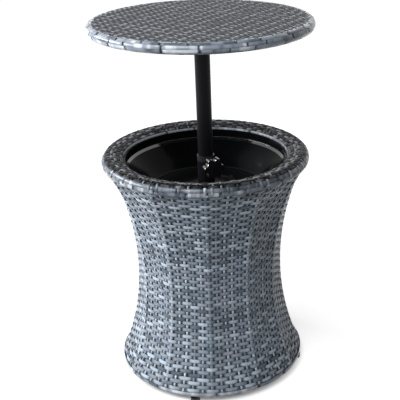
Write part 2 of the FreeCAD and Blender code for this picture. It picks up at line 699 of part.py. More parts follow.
def pole_parts():
    """Make the sliding pole with its lower guide and the plate that carries the tabletop."""
    guide = new_body("guide_bush")
    disc(guide, "skirt", "P.guide_radius", "P.pole_bottom_z - S.run_gap - S.guide_length",
         "S.guide_length", "P.plug_radius - S.guide_wall")
    disc(guide, "plug", "P.plug_radius", "P.pole_bottom_z - S.run_gap", "S.guide_plug",
         "P.plug_radius - S.guide_wall")
    pole = new_body("inner_pole")
    disc(pole, "tube", "S.pole_radius", "P.pole_bottom_z", "P.table_bottom_z - P.pole_bottom_z",
         "S.pole_radius - S.pole_wall")
    plate = new_body("top_plate")
    disc(plate, "disc", "S.top_plate_radius", "P.table_bottom_z", "S.top_plate_thickness")
    screw_hole = hole(plate, "screw_hole", "S.top_screw_radius + S.screw_gap", "P.table_bottom_z",
                      "S.top_plate_thickness", "S.top_screw_circle")
    repeat(plate, [screw_hole], "S.top_screw_count")
    screw_group("top_screws", "S.top_screw_count", "S.top_screw_circle", "S.top_screw_radius",
                "S.top_screw_head_radius", "P.table_bottom_z - S.top_screw_head_height",
                "S.top_screw_head_height", "P.table_bottom_z",
                "S.top_plate_thickness + S.top_screw_grip")


def crossbar(name, start, angle):
    """Make one square tube under the tabletop, tapped where a plate screw enters it."""
    bar = new_body(name)
    half = "S.bar_width / 2"
    outside = new_sketch(bar, "outline", "XY_Plane", "P.bar_bottom_z")
    draw_outline(outside, [(start, "-" + half), ("P.bar_reach", "-" + half),
                           ("P.bar_reach", half), (start, half)])
    pad(bar, outside, "P.bar_height")
    inner = "(S.bar_width / 2 - S.bar_wall)"
    core = new_sketch(bar, "core", "XY_Plane", "P.bar_bottom_z + S.bar_wall")
    draw_outline(core, [(start, "-" + inner), ("P.bar_reach", "-" + inner),
                        ("P.bar_reach", inner), (start, inner)])
    pocket(bar, core, "P.bar_height - 2 * S.bar_wall", True, "bore")
    screws = ["S.top_screw_circle", "-S.top_screw_circle"] if value(start) < 0 else ["S.top_screw_circle"]
    for number, spot in enumerate(screws, start=1):
        hole(bar, "tapped_hole_%d" % number, "S.top_screw_radius + S.run_gap", "P.bar_bottom_z",
             "S.bar_wall", spot)
    turn_body(bar, angle)


def tabletop():
    """Make the lid: a tube ring, a cross of square tubes, a woven panel and an edge binding."""
    tube_ring("tabletop_ring", "P.table_ring_r", "P.table_ring_z", "S.table_tube_radius",
              "S.frame_wall")
    crossbar("crossbar_long", "-P.bar_reach", 0)
    crossbar("crossbar_front", "S.bar_width / 2", -90)
    crossbar("crossbar_rear", "S.bar_width / 2", 90)
    strip_ring("top_edge_binding", "P.table_ring_r", "P.table_ring_z",
               "S.table_tube_radius + S.seat_gap", "P.table_bead", "-90", "90")
    panel = new_body("top_panel")
    disc(panel, "disc", "P.table_ring_r", "P.table_height - S.strip_thickness", "S.strip_thickness")


def write_parts():
    """Check every object and every sub-part's solid, then write one file for each node."""
    DOC.recompute()
    for item in DOC.Objects:
        if "Invalid" in item.State or "Error" in item.State:
            raise ValueError("%s is %s" % (item.Name, item.State))
    kinds = ("PartDesign::Body", "Part::Torus", "Part::Loft")
    nodes = [item for item in DOC.Objects if item.TypeId in kinds]
    for node in nodes:
        if node.Shape.isNull() or not node.Shape.isValid() or not node.Shape.Solids:
            raise ValueError("%s has no valid solid" % node.Label)
    os.makedirs("parts", exist_ok=True)
    for node in nodes:
        node.Shape.exportStep("parts/%s.step" % node.Label)
        box = node.Shape.BoundBox
        print("%-20s %2d solids %10.0f mm3  z %6.1f to %6.1f" % (
            node.Label, len(node.Shape.Solids), node.Shape.Volume, box.ZMin, box.ZMax))


fill_sheets()
base_frame()
woven_skins()
feet()
base_brace()
post_parts()
clamp_parts()
ice_bucket()
pole_parts()
tabletop()
write_parts()
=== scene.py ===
"""Looks of a round woven cooler table: flat resin strands on an hourglass base, a bucket and a lid.

Metres, +Z up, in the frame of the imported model, with -Y at the front. The lid rests raised.
"""
import logging
import math
from contextlib import contextmanager
from dataclasses import dataclass, field
from enum import Enum
from random import Random
from typing import Any, Callable, Dict, Iterator, List, Optional, Sequence, Tuple, Union

import bmesh
import bpy
import numpy as np
from mathutils import Euler, Matrix, Vector


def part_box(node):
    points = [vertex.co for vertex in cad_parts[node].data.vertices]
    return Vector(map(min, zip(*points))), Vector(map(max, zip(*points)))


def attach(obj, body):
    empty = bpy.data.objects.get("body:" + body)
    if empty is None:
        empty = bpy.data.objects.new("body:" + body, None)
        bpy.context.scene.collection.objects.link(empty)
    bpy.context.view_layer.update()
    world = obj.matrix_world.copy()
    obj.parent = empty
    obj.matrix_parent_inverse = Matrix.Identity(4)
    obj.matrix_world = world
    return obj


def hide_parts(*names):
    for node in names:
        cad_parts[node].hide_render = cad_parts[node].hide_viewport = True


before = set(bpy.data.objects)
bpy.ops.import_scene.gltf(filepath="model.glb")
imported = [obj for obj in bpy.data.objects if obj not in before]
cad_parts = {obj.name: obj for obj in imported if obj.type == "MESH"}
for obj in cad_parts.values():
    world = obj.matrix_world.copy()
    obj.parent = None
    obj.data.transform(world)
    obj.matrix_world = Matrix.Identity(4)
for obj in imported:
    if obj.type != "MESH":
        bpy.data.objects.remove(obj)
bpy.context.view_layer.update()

LOG = logging.getLogger("cooler_table")
MM = 0.001
UP = Vector((0.0, 0.0, 1.0))
ORIGIN = Vector((0.0, 0.0, 0.0))
STRAND_MAP = "StrandMap"
STRAND_LIFT = "StrandLift"
RIBS = 12
FIRST_RIB = math.radians(29.0)
SECTOR = math.tau / RIBS
WARPS_PER_SECTOR = 5
STEPS_PER_CROSSING = 4
STEPS_PER_WAVE = 2 * STEPS_PER_CROSSING
COLUMNS = WARPS_PER_SECTOR * STEPS_PER_CROSSING
WAVE_POWER = 0.6
LEAST_SWING = 1e-6
MAP_MARGIN = 0.02

Colour = Tuple[float, float, float, float]


def clear_selection() -> None:
    """Leave nothing selected, so that an operator acts only on the piece in hand."""
    bpy.ops.object.select_all(action="DESELECT")


def take(pieces: Sequence[bpy.types.Object]) -> None:
    """Select pieces alone, the first one active.

    Args:
        pieces: The objects that the next operator acts on.
    """
    clear_selection()
    for piece in pieces:
        piece.select_set(True)
    bpy.context.view_layer.objects.active = pieces[0]


def set_down(pieces: Sequence[bpy.types.Object]) -> None:
    """Put the pieces' places, turns and scales into their meshes.

    Args:
        pieces: The objects to settle at the origin.
    """
    take(pieces)
    bpy.ops.object.transform_apply(location=True, rotation=True, scale=True)


def join(pieces: Sequence[bpy.types.Object], name: str) -> bpy.types.Object:
    """Join strands to one object, with all faces outwards and shaded smooth.

    Args:
        pieces: The objects to join.
        name: The name of the joined object.

    Returns:
        The joined object.
    """
    take(pieces)
    bpy.ops.object.join()
    whole = bpy.context.view_layer.objects.active
    whole.name = name
    whole.data.name = name
    with shaping(whole, "FACE"):
        bpy.ops.mesh.normals_make_consistent(inside=False)
    smooth(whole)
    return whole


@contextmanager
def shaping(piece: bpy.types.Object, mode: str = "VERT") -> Iterator[None]:
    """Open a piece in edit mode with all of it selected, and close it again.

    Args:
        piece: The object to shape.
        mode: What is selected, VERT, EDGE or FACE.

    Yields:
        Nothing; the body of the with statement runs in edit mode.
    """
    take([piece])
    bpy.ops.object.mode_set(mode="EDIT")
    bpy.ops.mesh.select_mode(type=mode)
    bpy.ops.mesh.select_all(action="SELECT")
    yield
    bpy.ops.mesh.select_mode(type="VERT")
    bpy.ops.object.mode_set(mode="OBJECT")


def pick_vertices(piece: bpy.types.Object, chosen: Callable[[int], bool]) -> None:
    """Select the vertices of the open piece whose number passes a test, and no others.

    Args:
        piece: The object in edit mode.
        chosen: The test of a vertex's number.
    """
    mesh = bmesh.from_edit_mesh(piece.data)
    for vertex in mesh.verts:
        vertex.select_set(chosen(vertex.index))
    mesh.select_flush_mode()


def pick_edges(piece: bpy.types.Object, chosen: Callable[[Vector, Vector], bool]) -> None:
    """Select the edges of the open piece whose two ends pass a test, and no others.

    Args:
        piece: The object in edit mode.
        chosen: The test of an edge's two end points.
    """
    mesh = bmesh.from_edit_mesh(piece.data)
    for edge in mesh.edges:
        edge.select_set(chosen(edge.verts[0].co, edge.verts[1].co))
    mesh.select_flush_mode()


def draw_out(angle: float, centre: Vector, axis: Vector, steps: int) -> None:
    """Spin what is selected round an axis by the right-hand rule, which the operator turns against.

    Args:
        angle: The turn in radians.
        centre: A point on the axis.
        axis: The axis's direction.
        steps: The number of equal steps.
    """
    bpy.ops.mesh.spin(steps=steps, angle=-angle, center=centre, axis=axis)


def smooth(piece: bpy.types.Object, angle: float = 50.0) -> None:
    """Shade a piece smooth except over sharp edges.

    Args:
        piece: The object to shade.
        angle: The least sharp angle in degrees.
    """
    take([piece])
    bpy.ops.object.shade_smooth_by_angle(angle=math.radians(angle))


def copy_of(piece: bpy.types.Object) -> bpy.types.Object:
    """Copy a piece with a mesh of its own.

    Args:
        piece: The object to copy.

    Returns:
        The copy.
    """
    take([piece])
    bpy.ops.object.duplicate(linked=False)
    return bpy.context.view_layer.objects.active


def remove(pieces: Sequence[bpy.types.Object]) -> None:
    """Throw away the patterns that copies were made from.

    Args:
        pieces: The objects to delete.
    """
    take(pieces)
    bpy.ops.object.delete()


def vertices_of(piece: bpy.types.Object) -> np.ndarray:
    """Read a piece's vertices as rows of x, y and z."""
    points = np.empty(len(piece.data.vertices) * 3)
    piece.data.vertices.foreach_get("co", points)
    return points.reshape(-1, 3)


def inside(share: np.ndarray) -> np.ndarray:
    """Keep the share across a strand short of its edges, where the next strand's number begins.

    Args:
        share: The share across the strand at each vertex.

    Returns:
        The share, a margin away from 0 and 1.
    """
    return np.clip(share, MAP_MARGIN, 1.0 - MAP_MARGIN)


def write_map(piece: bpy.types.Object, along: np.ndarray, across: np.ndarray, turn: float = 0.0) -> None:
    """Store a strand map: u runs along the strand in metres, v is its number plus the share across.

    Args:
        piece: The object that gets the map.
        along: The length along the strand at each vertex.
        across: The strand's number plus the share across it at each vertex.
        turn: The length of a full turn where the strand closes on itself, or 0.
    """
    corners = np.empty(len(piece.data.loops), np.int32)
    piece.data.loops.foreach_get("vertex_index", corners)
    lengths = along[corners]
    if turn:
        quads = lengths.reshape(-1, 4)
        behind = quads < quads.max(axis=1, keepdims=True) - turn / 2.0
        lengths = (quads + behind * turn).reshape(-1)
    pairs = np.column_stack((lengths, across[corners])).astype(np.float32)
    layer = piece.data.uv_layers.new(name=STRAND_MAP)
    layer.data.foreach_set("uv", pairs.reshape(-1))


def write_lift(piece: bpy.types.Object, lifts: Sequence[float]) -> None:
    """Store how high each vertex of a strand lies in the weave.

    Args:
        piece: The object that gets the attribute.
        lifts: One value per vertex, from 1 over to -1 under.
    """
    layer = piece.data.attributes.new(STRAND_LIFT, "FLOAT", "POINT")
    layer.data.foreach_set("value", np.asarray(lifts, np.float32))


def number_strand(piece: bpy.types.Object, number: float, shift: float) -> None:
    """Give a copied strand its own number and its own start along the reel.

    Args:
        piece: The copy, whose pattern has number 0.
        number: The strand's number.
        shift: The length to add along the strand.
    """
    layer = piece.data.uv_layers[STRAND_MAP]
    pairs = np.empty(len(layer.data) * 2, np.float32)
    layer.data.foreach_get("uv", pairs)
    pairs = pairs.reshape(-1, 2) + np.array((shift, number), np.float32)
    layer.data.foreach_set("uv", pairs.reshape(-1))


def wave(crossings: float) -> float:
    """Give a strand's height at a place counted in crossings, from 1 over to -1 under.

    Args:
        crossings: The place along the strand; whole numbers lie on a crossing.

    Returns:
        The height, flattened where the strand lies on or under the one that it crosses.
    """
    swing = math.cos(math.pi * crossings)
    return math.copysign(abs(swing) ** WAVE_POWER, swing) if abs(swing) > LEAST_SWING else 0.0


def move_out(lift: float, place: Vector, outwards: Vector) -> None:
    """Move what is selected of a ring out of the surface that it lies on, all round the table.

    Args:
        lift: How far it moves out.
        place: The ring's place in the plane of +X.
        outwards: The direction out of the surface there.
    """
    stretch = 1.0 + lift * outwards.x / place.x
    bpy.ops.transform.resize(value=(stretch, stretch, 1.0), center_override=ORIGIN)
    bpy.ops.transform.translate(value=(0.0, 0.0, lift * outwards.z))


def weave_ring(ring: bpy.types.Object, columns: Sequence[int], row: int, rise: float,
               place: Vector, outwards: Vector) -> None:
    """Let an open ring of strand pass over and under the strands that it crosses.

    Args:
        ring: The ring in edit mode.
        columns: The column of each vertex.
        row: The ring's number, which sets what it passes over first.
        rise: How far it swings out and in.
        place: The ring's place in the plane of +X.
        outwards: The direction out of the surface there.
    """
    for step in range(STEPS_PER_WAVE):
        lift = rise * wave(step / STEPS_PER_CROSSING + row)
        if lift:
            pick_vertices(ring, lambda index: columns[index] % STEPS_PER_WAVE == step)
            move_out(lift, place, outwards)


def lay(across: Vector, along: Vector) -> Euler:
    """Turn a section so that its width and the way it is drawn out lie in two directions.

    Args:
        across: The direction of the width.
        along: The direction that the strand runs in.

    Returns:
        The turn.
    """
    return Matrix((across.cross(along), across, along)).transposed().to_euler()


@dataclass(frozen=True)
class Arc:
    """An arc of the table's half section, in the plane through +X and the axis."""

    across: float
    up: float
    radius: float

    @property
    def centre(self) -> Vector:
        """The arc's centre."""
        return Vector((self.across, 0.0, self.up))

    def at(self, angle: float) -> Vector:
        """Give the point at an angle from +X towards +Z."""
        return self.centre + self.outwards(angle) * self.radius

    def outwards(self, angle: float) -> Vector:
        """Give the direction away from the arc's centre at an angle."""
        return Vector((math.cos(angle), 0.0, math.sin(angle)))

    def along(self, angle: float) -> Vector:
        """Give the direction in which the angle grows."""
        return Vector((-math.sin(angle), 0.0, math.cos(angle)))


def ring_bead(ring: str, cover: float) -> Arc:
    """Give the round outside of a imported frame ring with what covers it.

    Args:
        ring: The ring's node.
        cover: How far the round lies outside the ring's tube.

    Returns:
        The arc round the tube's middle.
    """
    low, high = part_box(ring)
    tube = (high.z - low.z) / 2.0
    return Arc(high.x - tube, (low.z + high.z) / 2.0, tube + cover)


@dataclass(frozen=True)
class Strand:
    """A flat resin strand, as it comes off the reel."""

    width: float
    thickness: float
    flat_share: float = 0.68

    def section(self, name: str, place: Vector, turn: Euler, capped: bool) -> bpy.types.Object:
        """Lay the strand's six-sided section, flat on top and thin at its edges.

        Args:
            name: The piece's name.
            place: The section's centre.
            turn: The turn from the section's own axes, width on Y.
            capped: Whether the strand's ends are closed.

        Returns:
            The new piece.
        """
        clear_selection()
        bpy.ops.mesh.primitive_circle_add(vertices=6, radius=0.5, calc_uvs=False,
                                          fill_type="NGON" if capped else "NOTHING")
        piece = bpy.context.view_layer.objects.active
        piece.name = name
        with shaping(piece):
            pick_vertices(piece, lambda index: index % 3 != 0)
            bpy.ops.transform.resize(value=(1.0, self.flat_share / 0.5, 1.0), center_override=ORIGIN)
        flat_side = math.cos(math.pi / 6.0)
        piece.scale = (self.thickness / flat_side, self.width, 1.0)
        set_down([piece])
        piece.rotation_euler = turn
        piece.location = place
        set_down([piece])
        return piece

    def ring(self, name: str, place: Vector, across: Vector, steps: int) -> bpy.types.Object:
        """Draw the strand all round the table's axis, starting at the first rib.

        Args:
            name: The piece's name.
            place: The strand's centre in the plane of +X.
            across: The direction of its width there.
            steps: The number of steps round the table.

        Returns:
            The closed ring.
        """
        to_rib = Matrix.Rotation(FIRST_RIB, 3, "Z")
        turn = lay(to_rib @ across, to_rib @ Vector((0.0, -1.0, 0.0)))
        piece = self.section(name, to_rib @ place, turn, False)
        with shaping(piece):
            draw_out(math.tau, ORIGIN, UP, steps)
        return piece


def rib_share(point: Sequence[float]) -> float:
    """Give a point's place round the table in columns, which are even along each flat facet.

    Args:
        point: A point of the base.

    Returns:
        The number of columns from the first rib.
    """
    angle = (math.atan2(point[1], point[0]) - FIRST_RIB) % math.tau
    sector = min(int(angle / SECTOR), RIBS - 1)
    half = SECTOR / 2.0
    share = 0.5 + math.tan(angle - sector * SECTOR - half) / (2.0 * math.tan(half))
    return (sector + share) * COLUMNS


def chord_factor(share: float) -> float:
    """Give how near the axis a flat facet comes, as a share of the radius at its ribs.

    Args:
        share: The place along the facet, 0 and 1 at its ribs.

    Returns:
        The share of the ribs' radius.
    """
    half = SECTOR / 2.0
    return math.hypot(math.cos(half), (2.0 * share - 1.0) * math.sin(half))


@dataclass
class WovenSide:
    """The hourglass side: rings of strand over sixty uprights, flat between the ribs."""

    waist_radius: float = 173.5 * MM
    waist_height: float = 258.0 * MM
    rows: int = 63
    hem: float = 8.2 * MM
    weft: Strand = Strand(9.0 * MM, 1.3 * MM)
    warp: Strand = Strand(5.4 * MM, 1.3 * MM)
    rib_wrap: Strand = Strand(7.0 * MM, 1.4 * MM)
    weft_rise: float = 1.3 * MM
    warp_rise: float = 1.0 * MM
    skin_depth: float = 2.0 * MM
    bottom_flatness: float = 0.1
    top_flatness: float = 0.35
    bottom_blend: float = 60.0 * MM
    top_blend: float = 75.0 * MM

    def __post_init__(self) -> None:
        """Work out the side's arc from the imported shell's box."""
        low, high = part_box("wicker_side")
        self.bottom = low.z - self.hem
        self.top = high.z
        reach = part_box("rim_edge_binding")[1].x - self.waist_radius
        rise = self.top - self.waist_height
        radius = (reach * reach + rise * rise) / (2.0 * reach)
        self.arc = Arc(self.waist_radius + radius, self.waist_height, radius + self.skin_depth)
        self.start = math.pi + math.asin((self.waist_height - self.bottom) / self.arc.radius)
        self.end = math.pi - math.asin(rise / self.arc.radius)

    def flatness(self, height: float) -> float:
        """Give how flat the facets are at a height, from 0 for round to 1 for flat.

        Args:
            height: The height above the floor.

        Returns:
            The flatness.
        """
        if height < self.waist_height:
            end, share = self.bottom_flatness, (height - self.bottom) / self.bottom_blend
        else:
            end, share = self.top_flatness, (self.top - height) / self.top_blend
        share = min(max(share, 0.0), 1.0)
        return end + (1.0 - end) * share * share * (3.0 - 2.0 * share)

    def row_angle(self, row: float) -> float:
        """Give the angle on the side's arc of a row counted from the bottom."""
        return self.start + (self.end - self.start) * row / self.rows

    def weft_ring(self, row: int) -> bpy.types.Object:
        """Make one ring of strand that passes over and under the uprights.

        Args:
            row: The row's number from the bottom.

        Returns:
            The ring with its strand map.
        """
        angle = self.row_angle(row + 0.5)
        place = self.arc.at(angle)
        across = -self.arc.along(angle)
        outwards = -self.arc.outwards(angle)
        ring = self.weft.ring("weft_%02d" % row, place, across, RIBS)
        with shaping(ring, "EDGE"):
            pick_edges(ring, lambda one, other: (one - other).length > self.weft.width * 2.0)
            bpy.ops.mesh.subdivide(number_cuts=COLUMNS - 1)
        columns = [int(round(rib_share(vertex.co))) for vertex in ring.data.vertices]
        with shaping(ring):
            self.ease_facets(ring, columns, self.flatness(place.z), place.z)
            weave_ring(ring, columns, row, self.weft_rise, place, outwards)
        points = vertices_of(ring)
        turns = np.arctan2(points[:, 1], points[:, 0]) * place.x
        share = (points[:, 2] - place.z) / (across.z * self.weft.width) + 0.5
        write_map(ring, turns, row + inside(share), math.tau * place.x)
        write_lift(ring, [wave(column / STEPS_PER_CROSSING + row) for column in columns])
        return ring

    def ease_facets(self, ring: bpy.types.Object, columns: List[int], flatness: float,
                    height: float) -> None:
        """Round a ring off where the side goes over into its round edges.

        Args:
            ring: The ring in edit mode, with flat facets.
            columns: The column of each vertex.
            flatness: How flat its facets shall stay.
            height: The ring's height.
        """
        if flatness > 0.999:
            return
        for column in range(1, COLUMNS // 2 + 1):
            factor = chord_factor(column / COLUMNS)
            stretch = (1.0 - flatness * (1.0 - factor)) / factor
            pick_vertices(ring, lambda index: columns[index] % COLUMNS in (column, COLUMNS - column))
            bpy.ops.transform.resize(value=(stretch, stretch, 1.0), center_override=(0.0, 0.0, height))

    def upright(self, strand: Strand, column: int, phase: int) -> bpy.types.Object:
        """Make one upright at +X that passes under and over the rings.

        Args:
            strand: The strand that it is made of.
            column: Its column between two ribs, which sets how far its facet draws it in.
            phase: 0 or 1, which rings it passes over.

        Returns:
            The upright with its strand map.
        """
        across = Vector((0.0, 1.0, 0.0))
        piece = strand.section("upright", self.arc.at(self.start), lay(across, -self.arc.along(self.start)),
                               True)
        steps = self.rows * STEPS_PER_CROSSING
        with shaping(piece):
            draw_out(self.start - self.end, self.arc.centre, across, steps)
        centre = self.arc.centre
        turn = (self.start - self.end) / steps
        rings = []
        for vertex in piece.data.vertices:
            angle = math.atan2(vertex.co.z - centre.z, vertex.co.x - centre.x) % math.tau
            rings.append(int(round((self.start - angle) / turn)))
        factor = chord_factor(column / COLUMNS)
        half_step = STEPS_PER_CROSSING // 2
        with shaping(piece):
            for step in range(STEPS_PER_WAVE):
                rise = self.warp_rise * wave((step - half_step) / STEPS_PER_CROSSING + phase + 1)
                if rise:
                    pick_vertices(piece, lambda index: rings[index] % STEPS_PER_WAVE == step)
                    shrink = 1.0 - rise / self.arc.radius
                    bpy.ops.transform.resize(value=(shrink, 1.0, shrink), center_override=centre)
            if column:
                for ring in range(steps + 1):
                    height = self.arc.at(self.start - ring * turn).z
                    draw_in = 1.0 - self.flatness(height) * (1.0 - factor)
                    pick_vertices(piece, lambda index: rings[index] == ring)
                    bpy.ops.transform.resize(value=(draw_in, 1.0, 1.0), center_override=ORIGIN)
        points = vertices_of(piece)
        write_map(piece, points[:, 2], inside(points[:, 1] / strand.width + 0.5))
        write_lift(piece, [wave((ring - half_step) / STEPS_PER_CROSSING + phase + 1) for ring in rings])
        return piece

    def build(self) -> List[bpy.types.Object]:
        """Weave the side.

        Returns:
            The pieces: two groups of rings, the uprights and the wraps of the ribs.
        """
        rings = [self.weft_ring(row) for row in range(self.rows)]
        middle = self.rows // 2
        pieces = [join(rings[:middle], "side_wefts_lower"), join(rings[middle:], "side_wefts_upper")]
        uprights: List[bpy.types.Object] = []
        wraps: List[bpy.types.Object] = []
        for warp in range(3):
            strand = self.warp if warp else self.rib_wrap
            for phase in range(2):
                pattern = self.upright(strand, warp * STEPS_PER_CROSSING, phase)
                spots = self.spots(warp, phase)
                (uprights if warp else wraps).extend(spread_round(pattern, spots))
        return pieces + [join(uprights, "side_warps"), join(wraps, "rib_wraps")]

    def spots(self, warp: int, phase: int) -> List[Tuple[float, int]]:
        """List the azimuths and numbers of the uprights that share one pattern.

        Args:
            warp: The upright's distance from the nearest rib, in crossings.
            phase: 0 or 1, which rings it passes over.

        Returns:
            Pairs of an azimuth in radians and the upright's number.
        """
        found = []
        for sector in range(RIBS):
            for place in sorted({warp, (WARPS_PER_SECTOR - warp) % WARPS_PER_SECTOR}):
                number = sector * WARPS_PER_SECTOR + place
                if number % 2 == phase:
                    found.append((warp_azimuth(number), number))
        return found


def warp_azimuth(number: float) -> float:
    """Give the azimuth of an upright, counted from the first rib, on its flat facet."""
    sector, place = divmod(number, WARPS_PER_SECTOR)
    half = SECTOR / 2.0
    share = 2.0 * place / WARPS_PER_SECTOR - 1.0
    return FIRST_RIB + sector * SECTOR + half + math.atan(share * math.tan(half))


def spread_round(pattern: bpy.types.Object, spots: Sequence[Tuple[float, int]]) -> List[bpy.types.Object]:
    """Copy a piece round the table's axis and throw the pattern away.

    Args:
        pattern: The piece at +X.
        spots: Pairs of an azimuth in radians and a strand number.

    Returns:
        The copies, settled in place.
    """
    copies = []
    for azimuth, number in spots:
        piece = copy_of(pattern)
        piece.rotation_euler.z = azimuth
        number_strand(piece, float(number), 0.31 * number)
        copies.append(piece)
    set_down(copies)
    remove([pattern])
    return copies


@dataclass(frozen=True)
class Stretch:
    """One stretch of the rim's section: an arc passed from a high angle to a low one, or a line."""

    arc: Arc
    high: float
    low: float
    line: float
    steps: int

    @property
    def length(self) -> float:
        """The stretch's length."""
        return self.line or (self.high - self.low) * self.arc.radius

    def spot(self, length: float) -> Tuple[Vector, float]:
        """Find a place on the stretch.

        Args:
            length: The length from its inner end.

        Returns:
            The place, and the angle that the surface faces there.
        """
        if self.line:
            return self.arc.at(self.high) - self.arc.along(self.high) * length, self.high
        angle = self.high - length / self.arc.radius
        return self.arc.at(angle), angle

    def draw(self, across: Vector) -> None:
        """Draw the selected section out along the stretch."""
        if not self.line:
            draw_out(self.high - self.low, self.arc.centre, across, self.steps)
            return
        step = -self.arc.along(self.high) * (self.line / self.steps)
        for _ in range(self.steps):
            bpy.ops.mesh.extrude_region_move(TRANSFORM_OT_translate={"value": step})


@dataclass
class WovenRim:
    """The woven rim: six rings of strand over cross strands from the hole to the shoulder."""

    rings: int = 6
    crossings: int = 84
    weft: Strand = Strand(7.2 * MM, 1.2 * MM)
    warp: Strand = Strand(4.6 * MM, 1.2 * MM)
    rise: float = 0.6 * MM
    skin_depth: float = 1.5 * MM
    shoulder_radius: float = 18.0 * MM
    crown_drop: float = 6.0 * MM
    bead_cover: float = 3.0 * MM
    inner_turn: float = math.radians(146.0)
    outer_turn: float = math.radians(45.0)
    section_steps: Tuple[int, int, int, int] = (6, 5, 10, 8)

    def __post_init__(self) -> None:
        """Work out the rim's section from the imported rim's and the inner ring's boxes."""
        _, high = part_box("rim_edge_binding")
        low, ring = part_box("inner_ring")
        bead_radius = (ring.z - low.z) / 2.0 + self.bead_cover
        bead = Arc(ring.x - (ring.z - low.z) / 2.0, (ring.z + low.z) / 2.0, bead_radius - self.skin_depth)
        centre = high.x - self.shoulder_radius
        reach = centre - bead.across
        radius = (reach ** 2 + self.crown_drop ** 2) / (2.0 * self.crown_drop)
        cover = Arc(centre, high.z - radius, radius - self.skin_depth)
        self.shoulder = Arc(centre, high.z - self.shoulder_radius, self.shoulder_radius - self.skin_depth)
        apart = bead.centre - cover.centre
        facing = math.atan2(apart.z, apart.x) - math.acos((cover.radius - bead.radius) / apart.length)
        line = (cover.at(facing) - bead.at(facing)).length
        top = math.pi / 2.0
        bead_steps, line_steps, cover_steps, shoulder_steps = self.section_steps
        self.stretches = [Stretch(bead, self.inner_turn, facing, 0.0, bead_steps),
                          Stretch(bead, facing, facing, line, line_steps),
                          Stretch(cover, facing, top, 0.0, cover_steps),
                          Stretch(self.shoulder, top, self.outer_turn, 0.0, shoulder_steps)]
        self.length = sum(stretch.length for stretch in self.stretches)

    def spot(self, length: float) -> Tuple[Vector, Vector, Vector]:
        """Find a place on the section, by its length from the inner edge.

        Args:
            length: The length along the section.

        Returns:
            The place, the direction out of the surface and the direction towards the hole.
        """
        for stretch in self.stretches[:-1]:
            if length <= stretch.length:
                break
            length -= stretch.length
        else:
            stretch = self.stretches[-1]
        place, angle = stretch.spot(length)
        return place, stretch.arc.outwards(angle), stretch.arc.along(angle)

    def weft_ring(self, row: int) -> bpy.types.Object:
        """Make one ring of strand on top of the rim.

        Args:
            row: The ring's number from the hole.

        Returns:
            The ring with its strand map.
        """
        place, outwards, inwards = self.spot((row + 0.5) * self.length / self.rings)
        steps = self.crossings * STEPS_PER_CROSSING
        ring = self.weft.ring("rim_weft_%d" % row, place, inwards, steps)
        turn = math.tau / steps
        columns = [int(round((math.atan2(vertex.co.y, vertex.co.x) - FIRST_RIB) / turn))
                   for vertex in ring.data.vertices]
        with shaping(ring):
            weave_ring(ring, columns, row, self.rise, place, outwards)
        points = vertices_of(ring)
        reach = np.hypot(points[:, 0], points[:, 1]) - place.x
        share = (reach * inwards.x + (points[:, 2] - place.z) * inwards.z) / self.weft.width + 0.5
        turns = np.arctan2(points[:, 1], points[:, 0]) * place.x
        write_map(ring, turns, row + inside(share), math.tau * place.x)
        write_lift(ring, [wave(column / STEPS_PER_CROSSING + row) for column in columns])
        return ring

    def cross_strand(self, phase: int) -> bpy.types.Object:
        """Make one cross strand at +X, from the hole's edge over the crown to the shoulder.

        Args:
            phase: 0 or 1, which rings it passes over.

        Returns:
            The strand with its strand map.
        """
        across = Vector((0.0, 1.0, 0.0))
        place, _, inwards = self.spot(0.0)
        piece = self.warp.section("cross_strand", place, lay(across, -inwards), True)
        lengths = [0.0]
        with shaping(piece):
            for stretch in self.stretches:
                stretch.draw(across)
                lengths += [lengths[-1] + stretch.length / stretch.steps * (number + 1)
                            for number in range(stretch.steps)]
        spots = [index // 6 for index in range(len(piece.data.vertices))]
        lifts = [wave(length * self.rings / self.length + phase + 0.5) for length in lengths]
        with shaping(piece):
            for ring, length in enumerate(lengths):
                _, outwards, _ = self.spot(length)
                pick_vertices(piece, lambda index: spots[index] == ring)
                bpy.ops.transform.translate(value=outwards * self.rise * lifts[ring])
        points = vertices_of(piece)
        write_map(piece, points[:, 0], inside(points[:, 1] / self.warp.width + 0.5))
        write_lift(piece, [lifts[spot] for spot in spots])
        return piece

    def build(self) -> List[bpy.types.Object]:
        """Weave the rim.

        Returns:
            The rings and the cross strands.
        """
        wefts = join([self.weft_ring(row) for row in range(self.rings)], "rim_wefts")
        strands: List[bpy.types.Object] = []
        for phase in range(2):
            turn = math.tau / self.crossings
            spots = [(FIRST_RIB + number * turn, number) for number in range(phase, self.crossings, 2)]
            strands.extend(spread_round(self.cross_strand(phase), spots))
        return [wefts, join(strands, "rim_warps")]


